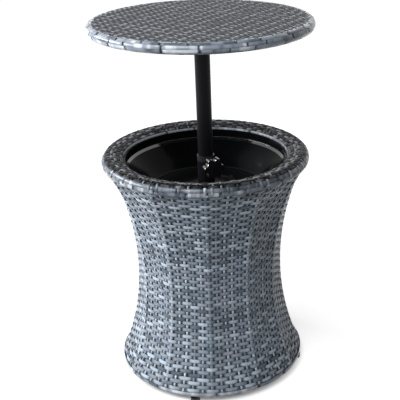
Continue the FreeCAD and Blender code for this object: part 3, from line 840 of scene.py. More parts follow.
@dataclass
class EdgeBinding:
    """Strips laid lengthwise round an edge in several lanes, each lane in lengths with tucked ends."""

    name: str
    bead: Arc
    lanes: Sequence[float]
    strip: Strand
    lengths: Sequence[int]
    gap: float
    seed: int
    tuck: float = 0.9 * MM
    steps_per_length: int = 10

    def strip_length(self, lane: int, start: float, end: float) -> bpy.types.Object:
        """Lay one length of strip along a lane.

        Args:
            lane: The lane's number.
            start: The azimuth where it starts.
            end: The azimuth where it ends.

        Returns:
            The strip with its strand map.
        """
        angle = math.radians(self.lanes[lane])
        place = self.bead.at(angle)
        outwards = self.bead.outwards(angle)
        to_start = Matrix.Rotation(start, 3, "Z")
        turn = lay(to_start @ self.bead.along(angle), to_start @ Vector((0.0, -1.0, 0.0)))
        piece = self.strip.section("length", to_start @ place, turn, True)
        with shaping(piece):
            draw_out(end - start, ORIGIN, UP, self.steps_per_length)
        last = len(piece.data.vertices) - 6
        with shaping(piece):
            pick_vertices(piece, lambda index: index < 6 or index >= last)
            move_out(-self.tuck, place, outwards)
        points = vertices_of(piece)
        turns = (np.arctan2(points[:, 1], points[:, 0]) - start) % math.tau
        turns[turns > math.pi * 1.5] -= math.tau
        reach = np.hypot(points[:, 0], points[:, 1]) - place.x
        along = self.bead.along(angle)
        share = (reach * along.x + (points[:, 2] - place.z) * along.z) / self.strip.width + 0.5
        write_map(piece, (start + turns) * place.x, lane + inside(share))
        # The tucked ends count as lying under, so the finish paints shade on them.
        write_lift(piece, [-1.0 if index < 6 or index >= last else 1.0 for index in range(last + 6)])
        return piece

    def build(self) -> bpy.types.Object:
        """Lay every lane.

        Returns:
            The binding as one piece.
        """
        chance = Random(self.seed)
        strips = []
        for lane in range(len(self.lanes)):
            count = self.lengths[lane]
            spacing = math.tau / count
            first = chance.uniform(0.0, spacing)
            joints = [first + (number + chance.uniform(-0.32, 0.32)) * spacing for number in range(count)]
            joints.append(joints[0] + math.tau)
            for number, (start, end) in enumerate(zip(joints, joints[1:])):
                half = self.gap * (0.12 + 1.5 * chance.uniform(0.0, 1.0) ** 2) / self.bead.across
                strip = self.strip_length(lane, start + half, end - half)
                number_strand(strip, float(len(self.lanes) * number), chance.uniform(0.0, 3.0))
                strips.append(strip)
        return join(strips, self.name)


@dataclass
class Straps:
    """Short strips laid across an edge, over its lengthwise strips."""

    name: str
    bead: Arc
    low: float
    high: float
    strip: Strand
    azimuths: Sequence[float]
    steps: int = 10

    def build(self) -> bpy.types.Object:
        """Lay every strap.

        Returns:
            The straps as one piece.
        """
        across = Vector((0.0, 1.0, 0.0))
        start, end = math.radians(self.low), math.radians(self.high)
        piece = self.strip.section("strap", self.bead.at(start), lay(across, self.bead.along(start)), True)
        with shaping(piece):
            draw_out(start - end, self.bead.centre, across, self.steps)
        points = vertices_of(piece)
        turns = np.arctan2(points[:, 2] - self.bead.up, points[:, 0] - self.bead.across)
        write_map(piece, turns * self.bead.radius, inside(points[:, 1] / self.strip.width + 0.5))
        write_lift(piece, np.ones(len(points)))
        spots = [(azimuth, 7 * number) for number, azimuth in enumerate(self.azimuths)]
        return join(spread_round(piece, spots), self.name)


@dataclass
class WovenTop:
    """The tabletop: straight strands woven one over, one under, cut to a disc inside its edge."""

    reach: float = 236.5 * MM
    azimuth: float = math.radians(55.6)
    weft: Strand = Strand(8.4 * MM, 1.2 * MM)
    warp: Strand = Strand(7.7 * MM, 1.2 * MM)
    weft_pitch: float = 9.3 * MM
    warp_pitch: float = 8.5 * MM
    rise: float = 0.8 * MM

    def __post_init__(self) -> None:
        """Take the strands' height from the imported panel's box."""
        _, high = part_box("top_panel")
        self.height = high.z - self.rise - self.weft.thickness / 2.0 - 0.05 * MM

    def strand(self, strand: Strand, pitch: float, phase: int) -> bpy.types.Object:
        """Make one strand through the middle along +X, at full length.

        Args:
            strand: The strand that it is made of.
            pitch: The distance between the strands that it crosses.
            phase: 0 or 1, which of them it passes over.

        Returns:
            The strand with its strand map.
        """
        crossings = 2 * int(self.reach / pitch) + 3
        length = crossings * pitch
        along = Vector((1.0, 0.0, 0.0))
        start = Vector((-length / 2.0, 0.0, self.height))
        piece = strand.section("strand", start, lay(Vector((0.0, 1.0, 0.0)), along), True)
        steps = crossings * STEPS_PER_CROSSING
        with shaping(piece):
            for _ in range(steps):
                bpy.ops.mesh.extrude_region_move(
                    TRANSFORM_OT_translate={"value": along * (length / steps)})
        points = vertices_of(piece)
        rings = np.rint((points[:, 0] + length / 2.0) * steps / length).astype(int)
        half_step = STEPS_PER_CROSSING // 2
        with shaping(piece):
            for step in range(STEPS_PER_WAVE):
                rise = self.rise * wave((step - half_step) / STEPS_PER_CROSSING + phase + crossings // 2)
                if rise:
                    pick_vertices(piece, lambda index: rings[index] % STEPS_PER_WAVE == step)
                    bpy.ops.transform.translate(value=(0.0, 0.0, rise))
        write_map(piece, points[:, 0], inside(points[:, 1] / strand.width + 0.5))
        write_lift(piece, [wave((ring - half_step) / STEPS_PER_CROSSING + phase + crossings // 2)
                           for ring in rings])
        return piece

    def strands(self, name: str, strand: Strand, pitch: float, crossed: float, azimuth: float,
                flip: int) -> bpy.types.Object:
        """Lay all strands of one direction side by side and cut them to the disc.

        Args:
            name: The piece's name.
            strand: The strand that they are made of.
            pitch: The distance between them.
            crossed: The distance between the strands that they cross.
            azimuth: The direction that they run in.
            flip: 1 for the strands that pass under where the others pass over.

        Returns:
            The strands as one piece.
        """
        patterns = [self.strand(strand, crossed, phase) for phase in range(2)]
        half = int((self.reach - strand.width / 2.0) / pitch)
        laid = []
        for number in range(-half, half + 1):
            piece = copy_of(patterns[(number + flip) % 2])
            offset = number * pitch
            chord = math.sqrt(self.reach ** 2 - offset ** 2)
            with shaping(piece):
                for side in (1.0, -1.0):
                    bpy.ops.mesh.select_all(action="SELECT")
                    bpy.ops.mesh.bisect(plane_co=(side * chord, 0.0, 0.0), plane_no=(side, 0.0, 0.0),
                                        use_fill=True, clear_outer=True)
            piece.location.y = offset
            number_strand(piece, float(number + half), 0.0)
            laid.append(piece)
        set_down(laid)
        for piece in laid:
            piece.rotation_euler.z = azimuth
        set_down(laid)
        remove(patterns)
        return join(laid, name)

    def build(self) -> List[bpy.types.Object]:
        """Weave the tabletop.

        Returns:
            The strands of the two directions.
        """
        quarter = math.pi / 2.0
        wefts = self.strands("top_wefts", self.weft, self.weft_pitch, self.warp_pitch, self.azimuth, 0)
        warps = self.strands("top_warps", self.warp, self.warp_pitch, self.weft_pitch,
                             self.azimuth + quarter, 1)
        return [wefts, warps]


def linear(level: int) -> float:
    """Turn a screen level of 0 to 255 into a linear one of 0 to 1.

    Args:
        level: The level of one colour channel.

    Returns:
        The linear level.
    """
    share = level / 255.0
    return share / 12.92 if share <= 0.04045 else ((share + 0.055) / 1.055) ** 2.4


def srgb(red: int, green: int, blue: int) -> Colour:
    """Turn a colour of 0 to 255 into the shader's linear colour."""
    return (linear(red), linear(green), linear(blue), 1.0)


class Signal:
    """A socket of a material that takes part in sums written as Python."""

    def __init__(self, nodes: "Nodes", socket: bpy.types.NodeSocket) -> None:
        """Wrap one output socket of a node tree."""
        self.nodes = nodes
        self.socket = socket

    def math(self, operation: str, *others: Any) -> "Signal":
        """Add a Math node with this signal first.

        Args:
            operation: The node's operation.
            others: The signals or numbers that follow it.

        Returns:
            The result.
        """
        return self.nodes.maths(operation, self, *others)

    def __add__(self, other: Any) -> "Signal":
        """Add."""
        return self.math("ADD", other)

    __radd__ = __add__

    def __sub__(self, other: Any) -> "Signal":
        """Subtract."""
        return self.math("SUBTRACT", other)

    def __rsub__(self, other: Any) -> "Signal":
        """Subtract from a number."""
        return self.nodes.maths("SUBTRACT", other, self)

    def __mul__(self, other: Any) -> "Signal":
        """Multiply."""
        return self.math("MULTIPLY", other)

    __rmul__ = __mul__

    def __pow__(self, other: Any) -> "Signal":
        """Raise to a power."""
        return self.math("POWER", other)

    def __abs__(self) -> "Signal":
        """Drop the sign."""
        return self.math("ABSOLUTE")


class Nodes:
    """The node tree of one material, round its surface shader."""

    def __init__(self, name: str) -> None:
        """Start a material with a shader and its output."""
        self.material = bpy.data.materials.new(name)
        self.material.use_nodes = True
        self.tree = self.material.node_tree
        self.tree.nodes.clear()
        self.shader = self.add("ShaderNodeBsdfPrincipled")
        self.add("ShaderNodeOutputMaterial", inputs={"Surface": self.out(self.shader, "BSDF")})

    def add(self, kind: str, settings: Optional[Dict[str, Any]] = None,
            inputs: Optional[Dict[Any, Any]] = None) -> bpy.types.Node:
        """Add a node.

        Args:
            kind: The node's type.
            settings: Its properties, and a ramp's stops as pairs of a place and a colour.
            inputs: The values or signals of its sockets.

        Returns:
            The node.
        """
        node = self.tree.nodes.new(kind)
        for key, value in (settings or {}).items():
            if key == "stops":
                self.set_stops(node.color_ramp, value)
            else:
                setattr(node, key, value)
        self.feed(node, inputs or {})
        return node

    def feed(self, node: bpy.types.Node, inputs: Dict[Any, Any]) -> None:
        """Set or link sockets of a node.

        Args:
            node: The node.
            inputs: The values or signals by socket name or number.
        """
        for key, value in inputs.items():
            if isinstance(value, Signal):
                self.tree.links.new(value.socket, node.inputs[key])
            else:
                node.inputs[key].default_value = value

    def set_stops(self, ramp: bpy.types.ColorRamp, stops: Sequence[Tuple[float, Colour]]) -> None:
        """Give a ramp its stops.

        Args:
            ramp: The ramp, with the two stops that it starts with.
            stops: Pairs of a place and a colour, at least two.
        """
        while len(ramp.elements) < len(stops):
            ramp.elements.new(0.5)
        for element, (place, colour) in zip(ramp.elements, stops):
            element.position = place
            element.color = colour

    def out(self, node: bpy.types.Node, name: Any = 0) -> Signal:
        """Wrap an output of a node."""
        return Signal(self, node.outputs[name])

    def maths(self, operation: str, *values: Any) -> Signal:
        """Add a Math node on signals and numbers."""
        return self.out(self.add("ShaderNodeMath", {"operation": operation}, dict(enumerate(values))))

    def vector(self, *values: Any) -> Signal:
        """Bundle two or three signals or numbers as a vector."""
        return self.out(self.add("ShaderNodeCombineXYZ", inputs=dict(enumerate(values))))

    def noise(self, place: Signal, scale: float, detail: float) -> Signal:
        """Read soft noise at a place."""
        return self.out(self.add("ShaderNodeTexNoise",
                                 inputs={"Vector": place, "Scale": scale, "Detail": detail}))

    def shaded(self, colour: Any, shade: Signal) -> Signal:
        """Multiply a colour by a grey.

        Args:
            colour: The colour, as a signal or a value.
            shade: The grey.

        Returns:
            The product.
        """
        grey = self.out(self.add("ShaderNodeCombineColor", inputs={0: shade, 1: shade, 2: shade}))
        mixed = self.add("ShaderNodeMix", {"data_type": "RGBA", "blend_type": "MULTIPLY"},
                         {"Factor": 1.0, 6: colour, 7: grey})
        return self.out(mixed, 2)

    def bump(self, height: Signal, strength: float, distance: float) -> Signal:
        """Turn a height into a normal."""
        node = self.add("ShaderNodeBump", inputs={"Height": height, "Strength": strength,
                                                  "Distance": distance})
        return self.out(node, "Normal")


@dataclass(frozen=True)
class ResinFinish:
    """Extruded resin strand in mixed greys: tones change along each strand, with fine drawn lines, and
    painted shade darkens its long edges and the stretches where it dips under the strands that it crosses.
    """

    name: str
    dark: Colour
    mid: Colour
    light: Colour
    warm: Colour
    roughness: float
    specular: float = 0.1
    shine: float = 0.25
    blocks: float = 0.7
    own: float = 0.3
    accent: float = 0.08
    cycle: float = 3.0
    second: float = 0.0
    # How much painted shade darkens the strand's long edges, where the gaps between strands lie.
    painted_edge_shade: float = 0.5
    # Painted shade where the strand dips under the strands that it crosses: its darkest level, and the
    # range of lift over which it fades to none.
    painted_valley_shade: float = 0.3
    valley: Tuple[float, float] = (-0.7, 0.5)
    tone_length: float = 55.0 * MM
    lines: float = 9.0

    def material(self) -> bpy.types.Material:
        """Make the material.

        Returns:
            The material, which reads the strand map.
        """
        nodes = Nodes(self.name)
        place = nodes.add("ShaderNodeUVMap", {"uv_map": STRAND_MAP})
        parts = nodes.add("ShaderNodeSeparateXYZ", inputs={0: nodes.out(place)})
        along, across = nodes.out(parts, "X"), nodes.out(parts, "Y")
        number = across.math("FLOOR")
        share = across.math("FRACT")
        spot = nodes.vector(along * (1.0 / self.tone_length), number * 3.71, number * 1.37)
        blocks = nodes.noise(spot, 1.0, 1.5)
        own = nodes.out(nodes.add("ShaderNodeTexWhiteNoise", {"noise_dimensions": "1D"}, {"W": number}), 0)
        turn = number.math("FLOORED_MODULO", self.cycle)
        lighter = turn.math("COMPARE", 0.0, 0.5).math("MAXIMUM", turn.math("COMPARE", self.second, 0.5))
        tone = blocks * self.blocks + own * self.own + lighter * self.accent
        stops = [(0.36, self.dark), (0.46, self.mid), (0.56, self.warm), (0.66, self.light)]
        colour = nodes.out(nodes.add("ShaderNodeValToRGB", {"stops": stops}, {"Fac": tone}), "Color")
        drawn = nodes.noise(nodes.vector(along * 6.0, across * self.lines * 2.0, number), 1.0, 3.0)
        bow = (abs(share - 0.5) * 2.0) ** 2.5
        # Painted shade from the lift: darker where the strand lies under its neighbours. The coat's
        # reflection is taken away there too.
        lift = nodes.out(nodes.add("ShaderNodeAttribute", {"attribute_name": STRAND_LIFT}), "Fac")
        painted_valley_factor = nodes.out(nodes.add("ShaderNodeMapRange", {"interpolation_type": "SMOOTHSTEP"},
                                  {"Value": lift, "From Min": self.valley[0], "From Max": self.valley[1],
                                   "To Min": self.painted_valley_shade}))
        # The strand's drawn lines, with painted shade at its edges and in its valleys.
        shade = (1.1 - bow * self.painted_edge_shade + (drawn - 0.5) * 0.3) * painted_valley_factor
        nodes.feed(nodes.shader, {
            "Base Color": nodes.shaded(colour, shade),
            "Roughness": self.roughness + (drawn - 0.5) * 0.3,
            "Coat Weight": painted_valley_factor * self.shine,
            "Coat Roughness": self.roughness,
            "Normal": nodes.bump(drawn * 0.12 - bow, 0.8, 0.7 * MM),
            "Specular IOR Level": self.specular,
        })
        return nodes.material


@dataclass(frozen=True)
class MouldedFinish:
    """A moulded or coated surface: one colour with faint clouding and a fine grain."""

    name: str
    colour: Colour
    roughness: float
    grain: float
    grain_depth: float
    metallic: float = 0.0
    specular: float = 0.5
    clouding: float = 0.18
    coat: float = 0.0
    coat_ior: float = 1.5
    band: Tuple[float, float] = (-1.0, 2.0)

    def material(self) -> bpy.types.Material:
        """Make the material.

        Returns:
            The material, which reads Object coordinates.
        """
        nodes = Nodes(self.name)
        place = nodes.out(nodes.add("ShaderNodeTexCoord"), "Object")
        clouds = nodes.noise(place, 14.0, 3.0)
        fine = nodes.noise(place, 1.0 / self.grain, 2.0)
        shade = 1.0 + (clouds - 0.5) * self.clouding * 2.0
        nodes.feed(nodes.shader, {
            "Base Color": nodes.shaded(self.colour, shade),
            "Roughness": self.roughness + (clouds - 0.5) * 0.16 + (fine - 0.5) * 0.1,
            "Normal": nodes.bump(fine, 0.3, self.grain_depth),
            "Metallic": self.metallic,
            "Specular IOR Level": self.specular,
            "Coat Weight": self.banded(nodes, place) * self.coat,
            "Coat Roughness": 0.08,
            "Coat IOR": self.coat_ior,
        })
        return nodes.material

    def banded(self, nodes: Nodes, place: Signal) -> Signal:
        """Tell which heights lie in the polished band.

        Args:
            nodes: The material's nodes.
            place: The Object coordinates.

        Returns:
            1 in the band and 0 outside it.
        """
        height = nodes.out(nodes.add("ShaderNodeSeparateXYZ", inputs={0: place}), "Z")
        return height.math("GREATER_THAN", self.band[0]) * height.math("LESS_THAN", self.band[1])


Finish = Union[ResinFinish, MouldedFinish]

WEAVE_RESIN = ResinFinish("grey_resin_weave", srgb(84, 94, 106), srgb(129, 142, 157), srgb(170, 184, 198),
                          srgb(136, 144, 155), 0.26, shine=0.22, valley=(-0.9, 0.2), painted_valley_shade=0.18)
UPRIGHT_RESIN = ResinFinish("grey_resin_upright", srgb(112, 124, 137), srgb(142, 155, 169),
                            srgb(182, 195, 208), srgb(152, 161, 172), 0.3, shine=0.08, painted_edge_shade=0.3,
                            valley=(-0.6, 0.6), tone_length=30.0 * MM)
# Painted shade: the rim gets a darker copy of the side's greys, standing in for the shade that the raised
# lid casts on it.
RIM_RESIN_PAINTED_SHADE = ResinFinish("grey_resin_rim", srgb(26, 28, 31), srgb(46, 48, 52), srgb(124, 128, 134),
                        srgb(66, 65, 67), 0.24, specular=0.04, shine=0.12, painted_valley_shade=0.15)
RIM_EDGE_RESIN = ResinFinish("grey_resin_rim_edge", srgb(62, 70, 79), srgb(102, 111, 122),
                             srgb(172, 181, 190), srgb(116, 121, 128), 0.24, shine=0.3, painted_edge_shade=0.45,
                             valley=(-1.0, 0.0), tone_length=14.0 * MM)
INNER_EDGE_RESIN = ResinFinish("grey_resin_inner_edge", srgb(66, 71, 78), srgb(104, 110, 118),
                               srgb(170, 178, 186), srgb(116, 118, 124), 0.26, shine=0.3, painted_edge_shade=0.6,
                               valley=(-1.0, 0.0), tone_length=20.0 * MM)
TABLE_WEFT_RESIN = ResinFinish("grey_resin_table_weft", srgb(50, 52, 56), srgb(68, 71, 76),
                               srgb(146, 150, 156), srgb(86, 88, 91), 0.34, shine=0.06, blocks=0.5,
                               own=0.2, accent=0.36, painted_edge_shade=0.4, valley=(-1.0, -0.7), painted_valley_shade=0.7)
TABLE_WARP_RESIN = ResinFinish("grey_resin_table_warp", srgb(52, 55, 60), srgb(68, 71, 76),
                               srgb(126, 130, 136), srgb(84, 86, 90), 0.34, shine=0.06, blocks=0.5, own=0.2,
                               accent=0.24, cycle=7.0, second=3.0, painted_edge_shade=0.15, valley=(-0.9, 0.0),
                               painted_valley_shade=0.75)
EDGE_RESIN = ResinFinish("grey_resin_edge", srgb(76, 86, 99), srgb(124, 135, 149), srgb(204, 213, 223),
                         srgb(140, 145, 154), 0.22, shine=0.5, painted_edge_shade=0.35, valley=(-1.0, 0.0),
                         tone_length=26.0 * MM)
BUCKET_PLASTIC = MouldedFinish("bucket_plastic", srgb(9, 10, 12), 0.16, 0.8 * MM, 0.01 * MM, specular=0.05,
                               coat=0.9, coat_ior=1.9, band=(0.507, 0.515))
POLE_COAT = MouldedFinish("pole_powder_coat", srgb(14, 14, 18), 0.42, 0.5 * MM, 0.04 * MM, specular=0.1)
FRAME_COAT = MouldedFinish("frame_powder_coat", srgb(48, 49, 52), 0.48, 0.5 * MM, 0.05 * MM)
KNOB_PLASTIC = MouldedFinish("knob_plastic", srgb(18, 18, 21), 0.3, 0.6 * MM, 0.01 * MM, specular=0.3,
                             coat=1.0, coat_ior=1.8)
BUSH_NYLON = MouldedFinish("bush_nylon", srgb(28, 28, 30), 0.42, 0.8 * MM, 0.03 * MM)
SEAL_RUBBER = MouldedFinish("seal_rubber", srgb(24, 24, 25), 0.62, 0.4 * MM, 0.05 * MM)
FOOT_PLASTIC = MouldedFinish("foot_plastic", srgb(18, 18, 19), 0.5, 0.6 * MM, 0.04 * MM)
ZINC_STEEL = MouldedFinish("zinc_steel", srgb(168, 170, 172), 0.32, 0.3 * MM, 0.02 * MM, metallic=1.0)


class Slot(Enum):
    """Names of the material slots that show in the scene."""

    WICKER = "wicker"
    EDGE_STRIP = "edge_strip"
    BUCKET = "bucket"
    KNOB = "knob"


@dataclass
class Dresser:
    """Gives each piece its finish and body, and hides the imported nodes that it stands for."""

    made: Dict[str, bpy.types.Material] = field(default_factory=dict)

    def material(self, finish: Finish) -> bpy.types.Material:
        """Make a finish's material once and give it out again after that.

        Args:
            finish: The finish.

        Returns:
            Its material.
        """
        if finish.name not in self.made:
            self.made[finish.name] = finish.material()
        return self.made[finish.name]

    def dress(self, piece: bpy.types.Object, finish: Finish, slot: Slot, body: str, *nodes: str) -> None:
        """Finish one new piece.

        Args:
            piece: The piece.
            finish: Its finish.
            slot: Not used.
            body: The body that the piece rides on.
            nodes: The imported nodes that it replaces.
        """
        piece.data.materials.clear()
        piece.data.materials.append(self.material(finish))
        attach(piece, body)
        if nodes:
            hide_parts(*nodes)
        LOG.info("%s: %d faces on %s", piece.name, len(piece.data.polygons), body)

    def coat_nodes(self, finish: Finish, *names: str) -> None:
        """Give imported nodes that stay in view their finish.

        Args:
            finish: The finish.
            names: The nodes.
        """
        for name in names:
            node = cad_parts[name]
            for slot in node.material_slots:
                slot.material = self.material(finish)
            if not node.material_slots:
                node.data.materials.append(self.material(finish))


@dataclass
class Base:
    """The woven base with its bindings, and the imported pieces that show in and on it."""

    rim_edge_depth: float = 1.5 * MM
    strap_depth: float = 0.7 * MM
    strap_seed: int = 5
    beside_rib: Tuple[float, float] = (0.12, 0.2)
    between_ribs: Tuple[float, float] = (0.3, 0.75)
    inner_edge_cover: float = 2.3 * MM
    bottom_edge_cover: float = 2.2 * MM

    def build(self, dresser: Dresser) -> None:
        """Make and dress the base's pieces.

        Args:
            dresser: The dresser that finishes them.
        """
        lower, upper, uprights, wraps = WovenSide().build()
        for piece in (lower, upper):
            dresser.dress(piece, WEAVE_RESIN, Slot.WICKER, "base", "wicker_side")
        for piece in (uprights, wraps):
            dresser.dress(piece, UPRIGHT_RESIN, Slot.WICKER, "base", "wicker_side")
        rim = WovenRim()
        for piece in rim.build():
            dresser.dress(piece, RIM_RESIN_PAINTED_SHADE, Slot.WICKER, "base", "rim_cover")
        strip = Strand(9.6 * MM, 1.4 * MM)
        shoulder = Arc(rim.shoulder.across, rim.shoulder.up, rim.shoulder_radius - self.rim_edge_depth)
        outer = EdgeBinding("rim_edge_strips", shoulder, (30.0, -2.0), strip, (13, 30), 2.0 * MM, 11)
        dresser.dress(outer.build(), RIM_EDGE_RESIN, Slot.EDGE_STRIP, "base", "rim_edge_binding")
        self.build_straps(rim, dresser)
        self.build_inner_edge(dresser)
        self.build_bottom_edge(dresser)
        bucket = SoftenedCopy("bucket_tub", "ice_bucket", 3.5 * MM).build()
        dresser.dress(bucket, BUCKET_PLASTIC, Slot.BUCKET, "base", "ice_bucket")
        grip = SoftenedCopy("clamp_grip", "clamp_knob", 1.2 * MM, 3).build()
        dresser.dress(grip, KNOB_PLASTIC, Slot.KNOB, "clamp_screw", "clamp_knob")
        self.coat(dresser)

    def build_straps(self, rim: WovenRim, dresser: Dresser) -> None:
        """Lay the straps that cross the rim's outer edge at the ribs, beside them and between them.

        Args:
            rim: The woven rim.
            dresser: The dresser that finishes them.
        """
        chance = Random(self.strap_seed)
        azimuths = []
        for rib in range(RIBS):
            shares = (0.0, chance.uniform(*self.beside_rib), chance.uniform(*self.between_ribs))
            azimuths.extend(FIRST_RIB + (rib + share) * SECTOR for share in shares)
        bead = Arc(rim.shoulder.across, rim.shoulder.up, rim.shoulder_radius - self.strap_depth)
        straps = Straps("rim_edge_straps", bead, 2.0, 52.0, Strand(6.4 * MM, 1.2 * MM), azimuths)
        dresser.dress(straps.build(), RIM_EDGE_RESIN, Slot.EDGE_STRIP, "base")

    def build_inner_edge(self, dresser: Dresser) -> None:
        """Bind the edge of the hole.

        Args:
            dresser: The dresser that finishes it.
        """
        bead = ring_bead("inner_ring", self.inner_edge_cover)
        edge = EdgeBinding("inner_edge_strips", bead, (166.0, 212.0, 256.0),
                           Strand(7.0 * MM, 1.3 * MM), (8, 7, 7), 2.0 * MM, 23)
        dresser.dress(edge.build(), INNER_EDGE_RESIN, Slot.EDGE_STRIP, "base", "inner_edge_binding")

    def build_bottom_edge(self, dresser: Dresser) -> None:
        """Bind the bottom edge.

        Args:
            dresser: The dresser that finishes it.
        """
        bead = ring_bead("bottom_ring", self.bottom_edge_cover)
        edge = EdgeBinding("bottom_edge_strips", bead, (3.0, -42.0, -88.0, -132.0),
                           Strand(8.4 * MM, 1.3 * MM), (13, 9, 8, 8), 3.0 * MM, 37)
        dresser.dress(edge.build(), EDGE_RESIN, Slot.EDGE_STRIP, "base", "bottom_binding")

    def coat(self, dresser: Dresser) -> None:
        """Give the base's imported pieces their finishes.

        Args:
            dresser: The dresser that finishes them.
        """
        ribs = ["rib_%02d" % number for number in range(1, RIBS + 1)]
        ties = ["rim_tie_%d" % number for number in range(1, 7)]
        dresser.coat_nodes(FRAME_COAT, "bottom_ring", "top_ring", "inner_ring", "waist_hoop",
                           "cross_brace", "post_plate", *ribs, *ties)
        dresser.coat_nodes(POLE_COAT, "fixed_post", "clamp_boss")
        dresser.coat_nodes(SEAL_RUBBER, "post_seal")
        dresser.coat_nodes(BUSH_NYLON, "top_bush", "guide_bush", "pressure_pad")
        dresser.coat_nodes(FOOT_PLASTIC, *["foot_%d" % number for number in range(1, 5)])
        dresser.coat_nodes(ZINC_STEEL, "foot_screws", "plate_bolts", "plate_nuts", "bucket_screws",
                           "knob_stud", "top_screws")


@dataclass(frozen=True)
class SoftenedCopy:
    """A moulded piece whose packed edges are rounded on a copy of its mesh."""

    name: str
    node: str
    radius: float
    segments: int = 4
    sharp: float = math.radians(24.0)

    def build(self) -> bpy.types.Object:
        """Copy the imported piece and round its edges.

        Returns:
            The copy, settled at the origin.
        """
        piece = copy_of(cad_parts[self.node])
        matrix = piece.matrix_world.copy()
        piece.parent = None
        piece.matrix_world = matrix
        piece.name = self.name
        piece.data.name = self.name
        set_down([piece])
        with shaping(piece):
            bpy.ops.mesh.remove_doubles(threshold=0.01 * MM)
        bevel = piece.modifiers.new("soft_edges", "BEVEL")
        bevel.width = self.radius
        bevel.segments = self.segments
        bevel.limit_method = "ANGLE"
        bevel.angle_limit = self.sharp
        bevel.use_clamp_overlap = True
        take([piece])
        bpy.ops.object.modifier_apply(modifier=bevel.name)
        smooth(piece, 40.0)
        return piece


@dataclass
class Lid:
    """The tabletop with its bound edge, on its pole."""

    strip: Strand = Strand(8.4 * MM, 1.3 * MM)
    edge_cover: float = 1.8 * MM

    def build(self, dresser: Dresser) -> None:
        """Make and dress the lid's pieces.

        Args:
            dresser: The dresser that finishes them.
        """
        wefts, warps = WovenTop().build()
        dresser.dress(wefts, TABLE_WEFT_RESIN, Slot.WICKER, "lid", "top_panel")
        dresser.dress(warps, TABLE_WARP_RESIN, Slot.WICKER, "lid", "top_panel")
        bead = ring_bead("tabletop_ring", self.edge_cover)
        edge = EdgeBinding("top_edge_strips", bead, (98.0, 58.0, 18.0, -22.0, -62.0, -98.0), self.strip,
                           (37, 24, 21, 25, 18, 12), 1.8 * MM, 41)
        dresser.dress(edge.build(), EDGE_RESIN, Slot.EDGE_STRIP, "lid", "top_edge_binding")
        dresser.coat_nodes(FRAME_COAT, "tabletop_ring", "crossbar_long", "crossbar_front",
                           "crossbar_rear", "top_plate")
        dresser.coat_nodes(POLE_COAT, "inner_pole")


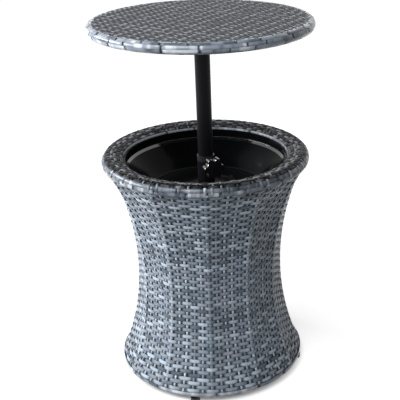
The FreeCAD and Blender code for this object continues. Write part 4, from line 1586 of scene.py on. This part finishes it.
@dataclass
class Studio:
    """The camera, the pale floor and the soft lamps."""

    distance: float = 1.866
    height: float = 1.205
    pitch: float = math.radians(22.96)
    roll: float = math.radians(-1.03)
    yaw: float = math.radians(-2.65)
    focal_pixels: float = 852.9
    frame_pixels: float = 400.0
    axis_pixel: float = 243.65
    sensor: float = 36.0

    def place_camera(self) -> None:
        """Set the camera up as the photograph's was."""
        data = bpy.data.cameras.new("camera")
        data.sensor_width = self.sensor
        data.lens = self.sensor * self.focal_pixels / self.frame_pixels
        data.shift_x = (self.frame_pixels / 2.0 - self.axis_pixel) / self.frame_pixels
        camera = bpy.data.objects.new("camera", data)
        bpy.context.scene.collection.objects.link(camera)
        tilt = Matrix.Rotation(math.pi / 2.0 - self.pitch, 4, "X") @ Matrix.Rotation(self.roll, 4, "Z")
        place = Matrix.Translation((0.0, -self.distance, self.height))
        camera.matrix_world = place @ Matrix.Rotation(self.yaw, 4, "Z") @ tilt
        bpy.context.scene.camera = camera

    def lay_floor(self) -> None:
        """Lay a wide pale floor with a painted glow: white to the camera and in reflections, dimmer near
        the table and none under the base, so that it is darker there as in shade and keeps the table's
        shadow.
        """
        clear_selection()
        bpy.ops.mesh.primitive_plane_add(size=14.0, location=(0.0, 0.0, -0.0005))
        floor = bpy.context.view_layer.objects.active
        floor.name = "floor"
        nodes = Nodes("pale_floor")
        place = nodes.out(nodes.add("ShaderNodeTexCoord"), "Object")
        reach = nodes.out(nodes.add("ShaderNodeVectorMath", {"operation": "LENGTH"}, {0: place}), "Value")
        # The painted glow is left out under the base, which the lamps alone light, and is dimmer near the
        # table.
        glow_outside_base = nodes.out(nodes.add("ShaderNodeMapRange", {"interpolation_type": "SMOOTHSTEP"},
                                         {"Value": reach, "From Min": 0.19, "From Max": 0.235}))
        far = nodes.out(nodes.add("ShaderNodeMapRange", {"interpolation_type": "SMOOTHSTEP"},
                                  {"Value": reach, "From Min": 0.4, "From Max": 1.6,
                                   "To Min": 0.8, "To Max": 1.0}))
        nodes.feed(nodes.shader, {"Base Color": (0.5, 0.5, 0.5, 1.0), "Roughness": 0.9,
                                  "Specular IOR Level": 0.0, "Emission Color": (1.0, 1.0, 1.0, 1.0),
                                  "Emission Strength": self.seen(nodes) * glow_outside_base * far})
        floor.data.materials.append(nodes.material)

    def seen(self, nodes: Nodes) -> Signal:
        """Tell what the camera, a reflection or a view through glass sees, as 1, from the rest, 0."""
        path = nodes.add("ShaderNodeLightPath")
        camera = nodes.out(path, "Is Camera Ray")
        glossy = nodes.out(path, "Is Glossy Ray")
        through = nodes.out(path, "Is Transmission Ray")
        return camera.math("MAXIMUM", glossy).math("MAXIMUM", through)

    def fill_world(self, ambient: float = 0.035) -> None:
        """Make the world white to the eye and dim to the object.

        Args:
            ambient: The world's strength as a light.
        """
        world = bpy.data.worlds.new("studio")
        world.use_nodes = True
        bpy.context.scene.world = world
        tree = world.node_tree
        background = tree.nodes["Background"]
        background.inputs["Color"].default_value = (1.0, 1.0, 1.0, 1.0)
        path = tree.nodes.new("ShaderNodeLightPath")
        either = tree.nodes.new("ShaderNodeMath")
        either.operation = "MAXIMUM"
        third = tree.nodes.new("ShaderNodeMath")
        third.operation = "MAXIMUM"
        level = tree.nodes.new("ShaderNodeMapRange")
        level.inputs["To Min"].default_value = ambient
        level.inputs["To Max"].default_value = 1.0
        tree.links.new(path.outputs["Is Camera Ray"], either.inputs[0])
        tree.links.new(path.outputs["Is Glossy Ray"], either.inputs[1])
        tree.links.new(either.outputs[0], third.inputs[0])
        tree.links.new(path.outputs["Is Transmission Ray"], third.inputs[1])
        tree.links.new(third.outputs[0], level.inputs["Value"])
        tree.links.new(level.outputs["Result"], background.inputs["Strength"])

    def add_lamp(self, name: str, place: Vector, target: Vector, size: Tuple[float, float],
                 power: float) -> None:
        """Add one soft lamp.

        Args:
            name: The lamp's name.
            place: Where it stands.
            target: What it points at.
            size: Its width and height.
            power: Its power in watts.
        """
        data = bpy.data.lights.new(name, "AREA")
        data.shape = "RECTANGLE"
        data.size, data.size_y = size
        data.energy = power
        lamp = bpy.data.objects.new(name, data)
        lamp.location = place
        lamp.rotation_euler = (target - place).to_track_quat("-Z", "Y").to_euler()
        bpy.context.scene.collection.objects.link(lamp)

    def build(self) -> None:
        """Set the whole studio up."""
        self.place_camera()
        self.lay_floor()
        self.fill_world()
        middle = Vector((0.0, 0.0, 0.45))
        self.add_lamp("key", Vector((-2.12, 0.15, 1.36)), middle, (2.0, 0.5), 80.0)
        self.add_lamp("top", Vector((-0.82, -1.55, 2.3)), middle, (1.2, 1.2), 49.0)
        bpy.context.scene.view_settings.view_transform = "Standard"


def main() -> None:
    """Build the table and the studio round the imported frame."""
    logging.basicConfig(level=logging.INFO, format="%(message)s")
    Studio().build()
    dresser = Dresser()
    Base().build(dresser)
    Lid().build(dresser)


if __name__ == "__main__":
    main()
